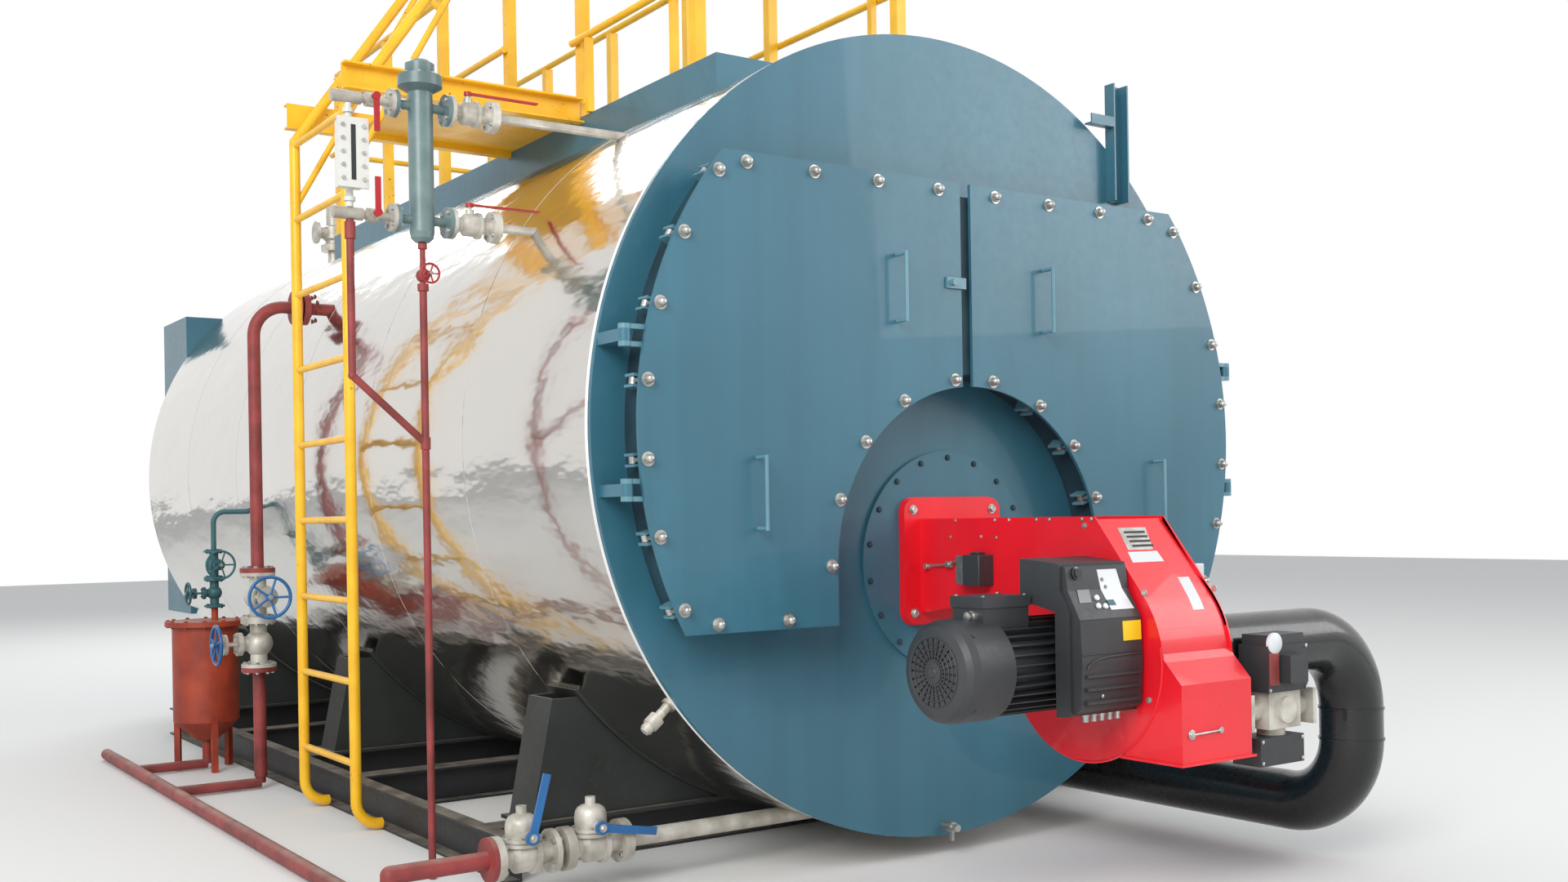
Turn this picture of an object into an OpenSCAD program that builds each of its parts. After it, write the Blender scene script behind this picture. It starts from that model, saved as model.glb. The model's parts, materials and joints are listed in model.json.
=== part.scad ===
// Horizontal fire-tube steam boiler on a skid, with burner, fittings and walkway.
// Millimetres. Z is up, Y runs along the boiler, the front plate faces -Y.
// The origin is on the floor under the middle of the front saddle.

/* [Barrel] */
// Outer radius of the bright cladding
shell_r = 1490; // [1350:10:1600]
// Height of the boiler axis above the floor
axis_z = 1580; // [1560:10:1700]
// Length from the face of the front plate to the rear face of the shell
shell_length = 6200; // [5800:50:7000]
// Steel wall and lagging together, under the cladding
lagged_wall = 130; // [100:5:180]
// Thickness of the cladding sheet
cladding_t = 3; // [1:0.5:6]
// How far the front plate stands out past the cladding
plate_lip = 10; // [4:1:20]
// Thickness of the front plate
front_plate_t = 20; // [12:1:30]
// Distance from the front plate's face to the tube plate's face
smoke_box_depth = 450; // [350:10:600]
// Thickness of the tube plate
tube_plate_t = 30; // [20:2:40]
// Thickness of the rear plate
rear_plate_t = 25; // [16:1:40]
// Distance from the front plate's face to the middle of the front saddle
front_reach = 890; // [800:10:1000]

/* [Fire tubes] */
// Outer diameter of a fire tube
tube_d = 76; // [50:1:90]
// Wall of a fire tube
tube_wall = 4; // [3:0.5:6]
// Distance between neighbouring fire tubes
tube_pitch = 112; // [100:2:140]
// How far the tube ends stand out of the tube plate
tube_stand_out = 10; // [5:1:20]
// Inner radius of the furnace mouth
furnace_r = 400; // [340:5:460]
// Wall of the furnace mouth
furnace_wall = 60; // [40:5:90]

/* [Smoke-box doors] */
// How far the doors' round edge lies inside the front plate's edge
door_margin = 80; // [60:5:200]
// Rise of the doors' straight top edge above the boiler axis
door_rise = 920; // [820:10:1000]
// Drop of the doors' straight bottom edge below the boiler axis
door_drop = 670; // [580:10:730]
// Radius of the round cut-out about the burner
cut_out_r = 640; // [600:5:700]
// Width of the slot between the two doors
slot_w = 50; // [40:1:70]
// Sideways place of the slot
slot_x = -30; // [-60:5:60]
// How far the doors' face stands in front of the front plate
door_stand_out = 170; // [140:5:220]
// Thickness of the door plates
door_t = 14; // [8:1:20]
// Running gap between a shut door and its frame
door_gap = 5; // [5:1:8]
// How far the frame lies inside the doors' edge
frame_inset = 45; // [40:1:60]
// Wall of the raised frame
frame_wall = 12; // [8:1:16]
// Width of the upright between the doors
mullion_w = 130; // [110:5:180]
// Gap round a door's lining
lining_gap = 32; // [28:1:45]
// How far the lining reaches behind the front plate's face
lining_reach = 30; // [10:5:60]
// How far the hinge pins stand outside the doors' round edge
hinge_out = 30; // [25:1:40]
// Radius of the hinge pins
hinge_pin_r = 10; // [8:1:12]
// Height of the upper hinge
hinge_top_z = 1870; // [1800:10:1950]
// Height of the lower hinge
hinge_low_z = 1380; // [1300:10:1450]
// Thickness of the grip bar of a handle
handle_d = 14; // [10:1:20]
// Length of a door handle
handle_h = 250; // [200:5:300]

/* [Burner] */
// Height of the burner axis
burner_z = 1115; // [1050:5:1150]
// Radius of the burner plate
burner_plate_r = 410; // [380:5:450]
// Thickness of the burner plate
burner_plate_t = 14; // [10:1:20]
// Width of the red flange
flange_w = 475; // [430:5:520]
// Height of the red flange
flange_h = 465; // [430:5:520]
// Thickness of the red flange
flange_t = 18; // [12:1:25]
// Thickness of the flange gasket
gasket_t = 10; // [6:1:16]
// Width of the burner housing
housing_w = 330; // [300:10:360]
// Height of the housing's flat top
housing_top_z = 1262; // [1240:2:1290]
// Reach of the flat top in front of the front plate
housing_reach = 905; // [880:5:1000]
// Radius of the fan volute
volute_r = 330; // [300:5:350]
// Distance of the fan shaft in front of the front plate
fan_reach = 850; // [800:5:900]
// Height of the fan shaft
fan_z = 810; // [780:5:840]
// Radius of the motor's fan cowl
cowl_r = 160; // [150:2:170]
// Reach of the motor beside the housing
motor_l = 635; // [520:5:650]

/* [Flue-gas pipe] */
// Outer diameter of the black pipe
duct_d = 219; // [180:1:240]
// Wall of the black pipe
duct_wall = 6; // [4:0.5:10]
// Bend radius on the pipe's centre line
duct_bend_r = 260; // [240:5:300]
// Sideways place of the lower run
duct_x = 1000; // [990:5:1100]
// Height of the upper run
duct_top_z = 830; // [800:5:860]
// Height of the lower run
duct_low_z = 200; // [190:5:230]
// Distance of the upper run in front of the front plate
duct_reach = 1040; // [1000:5:1080]

/* [Gauge column] */
// Gap from the cladding to the middle of the column
column_gap = 210; // [190:5:260]
// Diameter of the column
column_d = 89; // [76:1:100]
// Height of the upper column branch
branch_top_z = 2790; // [2720:5:2820]
// Height of the lower column branch
branch_low_z = 2380; // [2340:5:2420]
// Sideways distance from the column to the gauge glass
gauge_reach = 266; // [250:2:280]

/* [Feed and drain pipes] */
// Diameter of the red feed pipe
feed_d = 60; // [48:1:76]
// Distance of the feed nozzle behind the front saddle
feed_y = 2310; // [2200:10:2500]
// Height of the feed nozzle
feed_z = 2360; // [2300:10:2420]
// Gap from the cladding to the middle of the upright feed pipe
feed_gap = 160; // [150:5:210]
// Diameter of the floor manifold
manifold_d = 60; // [48:1:76]
// Gap from the cladding to the middle of the floor manifold, seen from above
manifold_gap = 570; // [550:10:610]
// Distance of the drain pot behind the front saddle
pot_y = 3110; // [3000:10:3300]
// Radius of the drain pot
pot_r = 165; // [140:5:180]
// Diameter of the blowdown pipe
blow_d = 60; // [48:1:76]
// Height of the blowdown pipe
blow_z = 165; // [160:1:190]
// Distance of the blowdown pipe in front of the front saddle
blow_y = -540; // [-580:10:-500]

/* [Ladder and walkway] */
// Gap from the cladding to the middle of the ladder's rails
ladder_gap = 150; // [150:5:210]
// Distance of the near rail behind the front saddle
ladder_y = 975; // [950:5:1000]
// Distance between the ladder's rails
ladder_w = 680; // [500:10:700]
// Diameter of the ladder's rails
rail_d = 46; // [34:1:50]
// Diameter of the rungs
rung_d = 30; // [20:1:34]
// Distance between the rungs
rung_pitch = 340; // [250:5:350]
// Rise of the walkway above the top of the cladding
deck_rise = 50; // [30:5:130]
// Width of the walkway
deck_w = 1120; // [900:10:1200]
// Length of the walkway
deck_l = 4540; // [4300:20:4900]
// Depth of the walkway's side beams, before they are shaped to the shell
fascia_h = 220; // [180:5:260]
// Height of the railing above the deck
railing_h = 1050; // [900:10:1200]
// Side of a railing post
post_w = 50; // [40:1:70]
// Number of posts on one side behind the gate
post_n = 4; // [3:1:6]

/* [Skid] */
// Height of the skid beams
beam_h = 160; // [140:5:200]
// Width of the beams' flanges
beam_b = 65; // [55:1:80]
// Thickness of the beams' web
beam_t = 9; // [6:1:12]
// Outer edge of the skid from the middle
skid_half_w = 1530; // [1500:5:1600]
// Distance from the front saddle to the middle saddle
saddle_pitch = 2210; // [2000:10:2300]
// Width of a saddle along the boiler
saddle_w = 250; // [200:10:300]
// Thickness of the saddles' plates
saddle_t = 14; // [10:1:20]
// Half the width of a saddle at its foot
saddle_foot_x = 1354; // [1300:2:1400]
// Half the width of a saddle at its top
saddle_top_x = 1262; // [1220:2:1290]

/* [Rear] */
// Length of the rear smoke box
rear_box_l = 620; // [500:10:700]
// Half the width of the rear smoke box
rear_box_x = 1240; // [1100:10:1300]
// Height of the top of the rear smoke box
rear_box_top_z = 2680; // [2600:10:2750]
// Height of the bottom of the rear smoke box
rear_box_low_z = 700; // [600:10:800]
// Radius of the flue outlet's bore
flue_r = 225; // [180:5:250]
// Radius of the steam outlet's bore
steam_r = 78; // [60:1:100]

/* [Hidden] */
$fn = 72;
round_fn = 360;
seat = 0.3;
front_y = -front_reach;
rear_y = front_y + shell_length;
barrel_r = shell_r - cladding_t - seat;
barrel_in_r = barrel_r - lagged_wall;
plate_r = shell_r + plate_lip;
door_r = plate_r - door_margin;
door_top_z = axis_z + door_rise;
door_bottom_z = axis_z - door_drop;
hinge_x = door_r + hinge_out;
column_x = -shell_r - column_gap;
feed_x = -shell_r - feed_gap;
manifold_x = -shell_r - manifold_gap;
ladder_x = -shell_r - ladder_gap;
deck_z = axis_z + shell_r + deck_rise;
tube_plate_y = front_y + smoke_box_depth;
frame_front_y = front_y - door_stand_out + door_t + door_gap;
door_back_y = front_y - door_stand_out + door_t;
teal = [0.30, 0.50, 0.58];
steel = [0.80, 0.81, 0.82];
red = [0.85, 0.10, 0.13];
pipe_red = [0.62, 0.26, 0.26];
yellow = [0.96, 0.75, 0.10];
black = [0.12, 0.12, 0.13];
grey = [0.28, 0.28, 0.27];
blue = [0.15, 0.42, 0.75];

// Helpers

// Extrudes an outline drawn in X and Z from plane y towards the front.
module facing(y, t) {
    translate([0, y, 0]) rotate([90, 0, 0]) linear_extrude(t) children();
}

// Extrudes an outline drawn in Y and Z from plane x towards +X.
module sideways(x, t) {
    translate([x, 0, 0]) rotate([90, 0, 90]) linear_extrude(t) children();
}

module rod_x(x0, x1, y, z, d) {
    translate([min(x0, x1), y, z]) rotate([0, 90, 0]) cylinder(h = abs(x1 - x0), d = d);
}

module rod_y(y0, y1, x, z, d) {
    translate([x, max(y0, y1), z]) rotate([90, 0, 0]) cylinder(h = abs(y1 - y0), d = d);
}

module rod_z(z0, z1, x, y, d) {
    translate([x, y, min(z0, z1)]) cylinder(h = abs(z1 - z0), d = d);
}

// A quarter bend of a pipe: starts at the origin along +X and turns to +Y.
module bend(r, d, angle = 90) {
    translate([0, r, 0]) rotate([0, 0, -90]) rotate_extrude(angle = angle)
        translate([r, 0]) circle(d = d);
}

// Leaves of a piece only what lies outside the cladding.
module outside_shell() {
    difference() {
        children();
        facing(rear_y, shell_length) translate([0, axis_z]) circle(r = shell_r + seat, $fn = round_fn);
    }
}

// A flanged ball valve about X, from the origin to l, with its gland at angle about the pipe.
module ball_valve(l, flange_r, body_r, angle = 0) {
    t = flange_r * 0.25;
    neck = body_r * 0.62;
    rotate([angle, 0, 0]) {
        rotate([0, 90, 0]) rotate_extrude()
            polygon([[0, 0], [flange_r, 0], [flange_r, t], [neck, t], [neck, l * 0.25], [body_r, l * 0.33],
                     [body_r, l * 0.6], [body_r * 1.15, l * 0.6], [body_r * 1.15, l * 0.68],
                     [neck, l * 0.75], [neck, l - t], [flange_r, l - t],
                     [flange_r, l], [0, l]]);
        translate([l * 0.465, 0, 0]) cylinder(h = body_r * 1.35, r = body_r * 0.4);
        translate([l * 0.465, 0, body_r]) cylinder(h = body_r * 0.6, r = body_r * 0.2);
    }
}

// A globe valve on an upright pipe, centred on the origin: its spindle points towards -Y.
module globe_valve(h, flange_r, body_r, reach) {
    t = flange_r * 0.2;
    neck = body_r * 0.6;
    rod_z(-h / 2, h / 2, 0, 0, 2 * neck);
    sphere(r = body_r);
    rod_z(-h / 2, t - h / 2, 0, 0, 2 * flange_r);
    rod_z(h / 2 - t, h / 2, 0, 0, 2 * flange_r);
    rod_y(0, -body_r * 1.25, 0, 0, body_r * 1.1);
    rod_y(-body_r * 1.25, -body_r * 1.6, 0, 0, body_r * 1.7);
    for (s = [-1, 1]) rod_y(-body_r * 1.5, -reach, s * body_r * 0.6, 0, body_r * 0.22);
    rod_y(-reach, 16 - reach, 0, 0, body_r * 1.5);
    rod_y(-body_r * 1.5, -reach, 0, 0, body_r * 0.3);
}

// X distance of the cladding from the axis at height z.
function shell_x(z) = sqrt(shell_r * shell_r - (z - axis_z) * (z - axis_z));

// Height of the cladding's top at distance x from the axis.
function shell_top(x) = axis_z + sqrt(shell_r * shell_r - x * x);

// Barrel and its ends

module barrel() {
    color(grey) facing(rear_y - rear_plate_t, shell_length - rear_plate_t - front_plate_t)
        translate([0, axis_z]) difference() {
            circle(r = barrel_r, $fn = round_fn);
            circle(r = barrel_in_r, $fn = round_fn);
        }
}

module cladding() {
    color(steel) facing(rear_y, shell_length - front_plate_t) translate([0, axis_z]) difference() {
        circle(r = shell_r, $fn = round_fn);
        circle(r = barrel_r + seat, $fn = round_fn);
    }
}

module rear_plate() {
    color(grey) facing(rear_y, rear_plate_t) translate([0, axis_z]) circle(r = barrel_r, $fn = round_fn);
}

// The outline of the two doors together, drawn in X and Z, with every edge moved in.
module doors_outline(inset) {
    difference() {
        intersection() {
            translate([0, axis_z]) circle(r = door_r - inset, $fn = round_fn);
            translate([-door_r, door_bottom_z + inset])
                square([2 * door_r, door_top_z - door_bottom_z - 2 * inset]);
        }
        translate([0, burner_z]) circle(r = cut_out_r + inset);
        translate([-cut_out_r - inset, 0]) square([2 * (cut_out_r + inset), burner_z]);
    }
}

// The two holes inside the frame, parted by the upright.
module frame_holes(inset) {
    difference() {
        doors_outline(inset);
        translate([slot_x - mullion_w / 2, 0]) square([mullion_w, door_top_z]);
    }
}

module front_plate() {
    color(teal) facing(front_y + front_plate_t, front_plate_t) difference() {
        translate([0, axis_z]) circle(r = plate_r, $fn = round_fn);
        frame_holes(frame_inset + frame_wall);
        translate([0, burner_z]) circle(r = furnace_r);
    }
}

module door_frame() {
    color(teal) facing(front_y, front_y - frame_front_y) difference() {
        doors_outline(frame_inset);
        frame_holes(frame_inset + frame_wall);
    }
}

// Fire tubes: a square grid, kept where the tube plate has room.
tube_rows = floor(2 * barrel_in_r / tube_pitch);
tube_edge = barrel_in_r - tube_d;
tube_clear = furnace_r + furnace_wall + tube_d;
function tube_fits(x, z) = norm([x, z]) < tube_edge
    && norm([x, z + axis_z - burner_z]) > tube_clear
    && z > burner_z - axis_z - tube_pitch;
tube_places = [for (i = [-tube_rows / 2 : tube_rows / 2], j = [-tube_rows / 2 : tube_rows / 2])
    if (tube_fits(i * tube_pitch, j * tube_pitch)) [i * tube_pitch, j * tube_pitch]];

module tube_plate() {
    color(grey) {
        facing(tube_plate_y + tube_plate_t, tube_plate_t) difference() {
            translate([0, axis_z]) circle(r = barrel_in_r - seat, $fn = round_fn);
            translate([0, burner_z]) circle(r = furnace_r);
        }
        facing(tube_plate_y, smoke_box_depth - front_plate_t) translate([0, burner_z]) difference() {
            circle(r = furnace_r + furnace_wall);
            circle(r = furnace_r);
        }
    }
}

module tube_ends() {
    color(black) for (p = tube_places)
        facing(tube_plate_y, tube_stand_out) translate([p[0], axis_z + p[1]]) difference() {
            circle(d = tube_d, $fn = 24);
            circle(d = tube_d - 2 * tube_wall, $fn = 24);
        }
}

// Rear smoke box: a box with a round flue outlet and a clean-out cover.
flue_y = rear_y + rear_box_l / 2;
flue_neck_h = 80;
flue_flange_t = 16;
flue_pcd = 2 * flue_r + 60;
flue_top_z = rear_box_top_z + flue_neck_h;

module rear_smoke_box() {
    box_h = rear_box_top_z - rear_box_low_z;
    rib_xs = [-0.92 * rear_box_x, 0, 0.92 * rear_box_x];
    color(teal) difference() {
        union() {
            translate([-rear_box_x, rear_y, rear_box_low_z]) cube([2 * rear_box_x, rear_box_l, box_h]);
            for (x = rib_xs) translate([x - 5, rear_y + rear_box_l - 1, rear_box_low_z])
                cube([10, 41, box_h]);
            for (s = [-1, 1], z = [rear_box_low_z + 500, rear_box_low_z + 1400])
                translate([s < 0 ? -rear_box_x - 40 : rear_box_x - 1, rear_y + 40, z])
                    cube([41, rear_box_l - 80, 10]);
            for (s = [-1, 1]) translate([s * 0.5 * rear_box_x - 250, rear_y + rear_box_l - 1, axis_z - 300])
                cube([500, 19, 600]);
            rod_z(rear_box_top_z, flue_top_z, 0, flue_y, 2 * flue_r + 16);
            rod_z(flue_top_z - flue_flange_t, flue_top_z, 0, flue_y, 2 * flue_r + 110);
        }
        rod_z(rear_box_top_z - rear_box_l, flue_top_z + 1, 0, flue_y, 2 * flue_r);
        for (a = [15 : 30 : 345])
            rod_z(flue_top_z - flue_flange_t - 1, flue_top_z + 1, flue_pcd / 2 * cos(a),
                  flue_y + flue_pcd / 2 * sin(a), 18);
    }
}

// Smoke-box doors

// One door's outline: side is -1 for the left door and 1 for the right one.
module door_outline(side, inset) {
    edge = slot_x + side * (slot_w / 2 + inset);
    intersection() {
        doors_outline(inset);
        translate([side < 0 ? edge - 2 * door_r : edge, 0]) square([2 * door_r, 2 * door_r]);
    }
}

module door_plate(side) {
    color(teal) facing(door_back_y, door_t) door_outline(side, 0);
}

// The lining fills the frame's hole, with a gap all round.
module door_lining(side) {
    inset = frame_inset + frame_wall + lining_gap;
    edge = slot_x + side * (mullion_w / 2 + lining_gap);
    color([0.75, 0.72, 0.65]) facing(front_y + lining_reach, door_stand_out + lining_reach - door_t)
        intersection() {
            doors_outline(inset);
            translate([side < 0 ? edge - 2 * door_r : edge, 0]) square([2 * door_r, 2 * door_r]);
        }
}

// A U handle on the door's face.
module door_handle(x, z) {
    reach = 55;
    y = door_back_y - door_t;
    rod_z(z - handle_h / 2, z + handle_h / 2, x, y - reach, handle_d);
    for (s = [-1, 1])
        rod_y(y, y - reach, x, z + s * (handle_h - handle_d) / 2, handle_d);
}

strap_t = 16;
strap_gap = 40;
strap_w = 26;
strap_clear = 7;
knuckle_r = hinge_pin_r + 10;
hinge_y = door_back_y + strap_w / 2;

// Where a strap starts behind the door's rim, clear of the frame's wall.
function strap_x(z) = strap_clear + sqrt(pow(door_r - frame_inset, 2)
    - pow(abs(z - axis_z) - strap_gap / 2 - strap_t, 2));

// Two straps behind the door's rim with a knuckle each, and the pin between.
module door_straps(side) {
    for (z = [hinge_top_z, hinge_low_z]) {
        for (s = [-1, 1]) translate([0, 0, z + s * (strap_gap + strap_t) / 2 - strap_t / 2]) {
            translate([side * hinge_x, hinge_y, 0]) cylinder(h = strap_t, r = knuckle_r);
            translate([side < 0 ? -hinge_x : strap_x(z), door_back_y, 0])
                cube([hinge_x - strap_x(z), strap_w, strap_t]);
        }
        rod_z(z - strap_gap / 2 - strap_t, z + strap_gap / 2 + strap_t, side * hinge_x, hinge_y,
              2 * hinge_pin_r);
    }
}

module door_fittings(side) {
    color([0.45, 0.62, 0.68]) {
        door_straps(side);
        door_handle(side * 360, 2093);
        door_handle(side * 970, 1368);
        if (side < 0) door_clamp();
    }
}

// Clamp across the doors' slot, held by the left door.
module door_clamp() {
    y = door_back_y - door_t;
    translate([slot_x - slot_w / 2 - 75, y - 10, 2110]) cube([slot_w + 40, 10, 40]);
    rod_y(y - 10, y - 26, slot_x - slot_w / 2 - 50, 2130, 24);
}

// The bracket on the front plate that holds a hinge's pin.
module hinge_brackets() {
    eye = strap_gap - 2 * seat;
    color(teal) for (side = [-1, 1], z = [hinge_top_z, hinge_low_z]) {
        difference() {
            union() {
                translate([side * hinge_x, hinge_y, z - eye / 2]) cylinder(h = eye, r = knuckle_r);
                translate([side * hinge_x - knuckle_r, hinge_y, z - eye / 2])
                    cube([2 * knuckle_r, front_y - hinge_y, eye]);
                translate([side * (hinge_x - 25) - 35, front_y - 16, z - eye / 2]) cube([70, 16, eye]);
            }
            translate([side * hinge_x, hinge_y, z - eye]) cylinder(h = 2 * eye, r = hinge_pin_r + seat);
        }
    }
}

// Angles of the swing bolts on the doors' outer edge and on the round cut-out.
rim_angles = [37.5, 27, 16.6, 6.2, -4.2, -14.6, -25];
cut_angles = [20, 40, 60];
lug_gap = 26;
lug_t = 9;
lug_reach = 40;
lug_y = frame_front_y + 30;
lug_l = 60;
lug_sag = 0.4;

// Two ears and a pin, standing out of the frame's wall along +X.
module bolt_lug() {
    for (s = [-1, 1])
        translate([0, lug_y, s * (lug_gap + lug_t) / 2 - lug_t / 2]) cube([lug_reach, lug_l, lug_t]);
    rod_z(-lug_gap / 2, lug_gap / 2, lug_reach * 0.6, lug_y + lug_l / 2, 14);
}

module bolt_lugs() {
    color([0.40, 0.58, 0.64]) {
        for (side = [0, 180], a = rim_angles) translate([0, 0, axis_z])
            rotate([0, side - (side == 0 ? a : -a), 0]) translate([door_r - frame_inset + seat, 0, 0])
                bolt_lug();
        for (side = [0, 180], a = cut_angles) translate([0, 0, burner_z])
            rotate([0, side - (side == 0 ? a : -a), 0])
                translate([cut_out_r + frame_inset - seat - lug_sag - lug_reach, 0, 0]) bolt_lug();
    }
}

// A channel upright on the front plate for the cable tray.
module plate_bracket() {
    x = 900;
    w = 85;
    low_z = 2560;
    h = 480;
    color(teal) {
        translate([x, front_y - 50, low_z]) cube([8, 50, h]);
        translate([x, front_y - 8, low_z]) cube([w, 8, h]);
        translate([x + w - 8, front_y - 50, low_z]) cube([8, 50, h]);
        translate([x - 130, front_y - 50, low_z + h - 180]) cube([134, 6, 40]);
        translate([x - 130, front_y - 50, low_z + h - 180]) cube([134, 40, 6]);
    }
}

// Burner

module burner_plate() {
    color(teal) facing(front_y, burner_plate_t) translate([0, burner_z]) circle(r = burner_plate_r);
}

module rounded_square(w, h, r) {
    for (a = [0, 1]) translate([-w / 2 + a * r, -h / 2 + (1 - a) * r])
        square([w - 2 * a * r, h - 2 * (1 - a) * r]);
    for (a = [-1, 1], b = [-1, 1]) translate([a * (w / 2 - r), b * (h / 2 - r)]) circle(r = r);
}

flange_y = front_y - burner_plate_t;
housing_back_y = flange_y - gasket_t - flange_t;
fan_y = front_y - fan_reach;

module burner_flange() {
    color(red) {
        facing(flange_y, gasket_t) translate([0, burner_z]) rounded_square(flange_w + 8, flange_h + 8, 54);
        facing(flange_y - gasket_t, flange_t) translate([0, burner_z])
            rounded_square(flange_w, flange_h, 50);
    }
}

// Side view of the housing: straight neck, sloped front and round volute.
module housing_profile(lip) {
    neck_low_z = housing_top_z - 330;
    top_z = housing_top_z + lip;
    front_y0 = front_y - housing_reach - lip;
    r = volute_r + lip;
    translate([fan_y, fan_z]) circle(r = r);
    polygon([[housing_back_y, top_z], [front_y0, top_z],
             [fan_y - r * cos(20), fan_z + r * sin(20)],
             [fan_y + r * cos(60), fan_z + r * sin(40)], [housing_back_y, neck_low_z - lip]]);
}

// Side view of the air intake in front of the volute.
intake_y = front_y - 1258;
intake_z = fan_z - 295;

module intake_profile() {
    polygon([[fan_y, intake_z], [intake_y, intake_z], [intake_y, fan_z - 55], [intake_y + 61, fan_z + 11],
             [intake_y + 137, fan_z + 106], [fan_y, fan_z + 106]]);
}

module burner_housing() {
    plate_t = 5;
    lip = 9;
    color(red) difference() {
        union() {
            sideways(-housing_w / 2 + 1, housing_w - 2) housing_profile(0);
            for (x = [-housing_w / 2, housing_w / 2 - plate_t]) sideways(x, plate_t) housing_profile(lip);
            sideways(-housing_w / 2 + 1, housing_w - 2) intake_profile();
            translate([-housing_w / 2 - 10, intake_y - 10, intake_z - 8]) cube([housing_w + 20, 250, 8]);
        }
        translate([-110, intake_y + 40, intake_z - 9]) cube([220, 140, 60]);
    }
}

// Motor beside the housing: ribbed body, fan cowl and terminal box.
module burner_motor() {
    body_r = cowl_r - 30;
    start = -housing_w / 2;
    cowl_l = 190;
    fin_l = motor_l - cowl_l - 70;
    color(black) {
        rod_x(start - motor_l + cowl_l, start, fan_y, fan_z, 2 * body_r);
        rod_x(start - 40, start, fan_y, fan_z, 2 * cowl_r);
        difference() {
            translate([start - motor_l, fan_y, fan_z]) rotate([0, 90, 0]) rotate_extrude()
                polygon([[0, 0], [cowl_r - 44, 0], [cowl_r - 20, 8], [cowl_r - 6, 24], [cowl_r, 50],
                         [cowl_r, cowl_l], [body_r + 12, cowl_l], [body_r + 12, cowl_l - 20],
                         [0, cowl_l - 20]]);
            for (a = [0 : 15 : 345]) translate([start - motor_l - 1, fan_y, fan_z]) rotate([a, 0, 0])
                translate([0, -3, 40]) cube([7, 6, cowl_r - 92]);
        }
        for (a = [0 : 12 : 348]) translate([start - motor_l + cowl_l + 6, fan_y, fan_z]) rotate([a, 0, 0])
            translate([0, -2.5, body_r - 2]) cube([fin_l, 5, 24]);
        translate([start - 495, fan_y - 70, fan_z + body_r - 20]) cube([190, 140, 80]);
        translate([start - 500, fan_y - 75, fan_z + body_r + 60]) cube([200, 150, 34]);
    }
}

module burner_control_box() {
    back = fan_y - cowl_r - 8;
    w = 290;
    x0 = -housing_w / 2 - w;
    color([0.20, 0.21, 0.22]) {
        sideways(x0, w) polygon([[back + 150, fan_z + 204], [back, fan_z + 174], [back, fan_z - 150],
                                 [back - 60, fan_z - 142], [back - 60, fan_z + 170],
                                 [back - 20, fan_z + 240], [back - 20, fan_z + 320],
                                 [back + 150, fan_z + 335]]);
        sideways(x0 + 12, w - 24) polygon([[back - 60, fan_z - 136], [back - 92, fan_z - 120],
                                           [back - 100, fan_z + 20], [back - 94, fan_z + 150],
                                           [back - 44, fan_z + 238], [back - 34, fan_z + 310],
                                           [back - 20, fan_z + 314], [back - 20, fan_z + 236],
                                           [back - 60, fan_z + 166]]);
        for (z = [fan_z - 110, fan_z - 70, fan_z - 30]) sideways(x0 + 30, w - 60)
            polygon([[back - 90, z], [back - 106, z + 6], [back - 106, z + 14], [back - 90, z + 20]]);
    }
}

valve_y = front_y - 1200;
valve_x = housing_w / 2;

module gas_valve() {
    z = 640;
    end_x = valve_x + 330;
    color(steel) {
        rod_x(valve_x, end_x, valve_y, z, 70);
        for (x = [valve_x, end_x - 16]) translate([x, valve_y - 58, z - 58]) cube([16, 116, 116]);
        translate([valve_x + 90, valve_y - 56, z - 60]) cube([160, 108, 120]);
        rod_z(z - 60, z - 84, valve_x + 170, valve_y, 90);
        rod_y(valve_y, valve_y - 70, valve_x + 170, z, 84);
    }
}

// Actuator on the gas valve and switch box under it.
module gas_actuators() {
    x = valve_x + 70;
    box_z = 640 - 84;
    color(black) {
        translate([x, valve_y - 70, 700]) cube([200, 115, 150]);
        translate([x + 8, valve_y - 62, 850]) cube([184, 99, 34]);
        translate([x + 60, valve_y - 110, 730]) cube([90, 40, 90]);
        translate([valve_x + 40, valve_y - 60, box_z - 90]) cube([220, 110, 90]);
    }
}

// Black pipe: upper run, two bends and the lower run with its flange.
module duct_path(d) {
    y = front_y - duct_reach;
    x0 = valve_x;
    low_y = y + duct_bend_r;
    end_y = front_y + 560;
    rod_x(x0, duct_x - duct_bend_r, y, duct_top_z, d);
    translate([duct_x - duct_bend_r, y, duct_top_z]) rotate([-90, 0, 0]) bend(duct_bend_r, d);
    rod_z(duct_low_z + duct_bend_r, duct_top_z - duct_bend_r, duct_x, y, d);
    translate([duct_x, y, duct_low_z + duct_bend_r]) rotate([0, 90, 0]) bend(duct_bend_r, d);
    rod_y(low_y, end_y, duct_x, duct_low_z, d);
}

module flue_gas_pipe() {
    end_y = front_y + 560;
    color(black) difference() {
        union() {
            duct_path(duct_d);
            rod_x(valve_x, valve_x + 20, front_y - duct_reach, duct_top_z, duct_d + 60);
            rod_y(end_y - 24, end_y, duct_x, duct_low_z, duct_d + 121);
            for (z = [duct_low_z + duct_bend_r, duct_top_z - duct_bend_r])
                rod_z(z - 4, z + 4, duct_x, front_y - duct_reach, duct_d + 8);
        }
        rod_y(end_y - 600, end_y + 1, duct_x, duct_low_z, duct_d - 2 * duct_wall);
        for (a = [22.5 : 45 : 337.5])
            rod_y(end_y - 30, end_y + 1, duct_x + 147.5 * cos(a), duct_low_z + 147.5 * sin(a), 22);
    }
}

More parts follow.
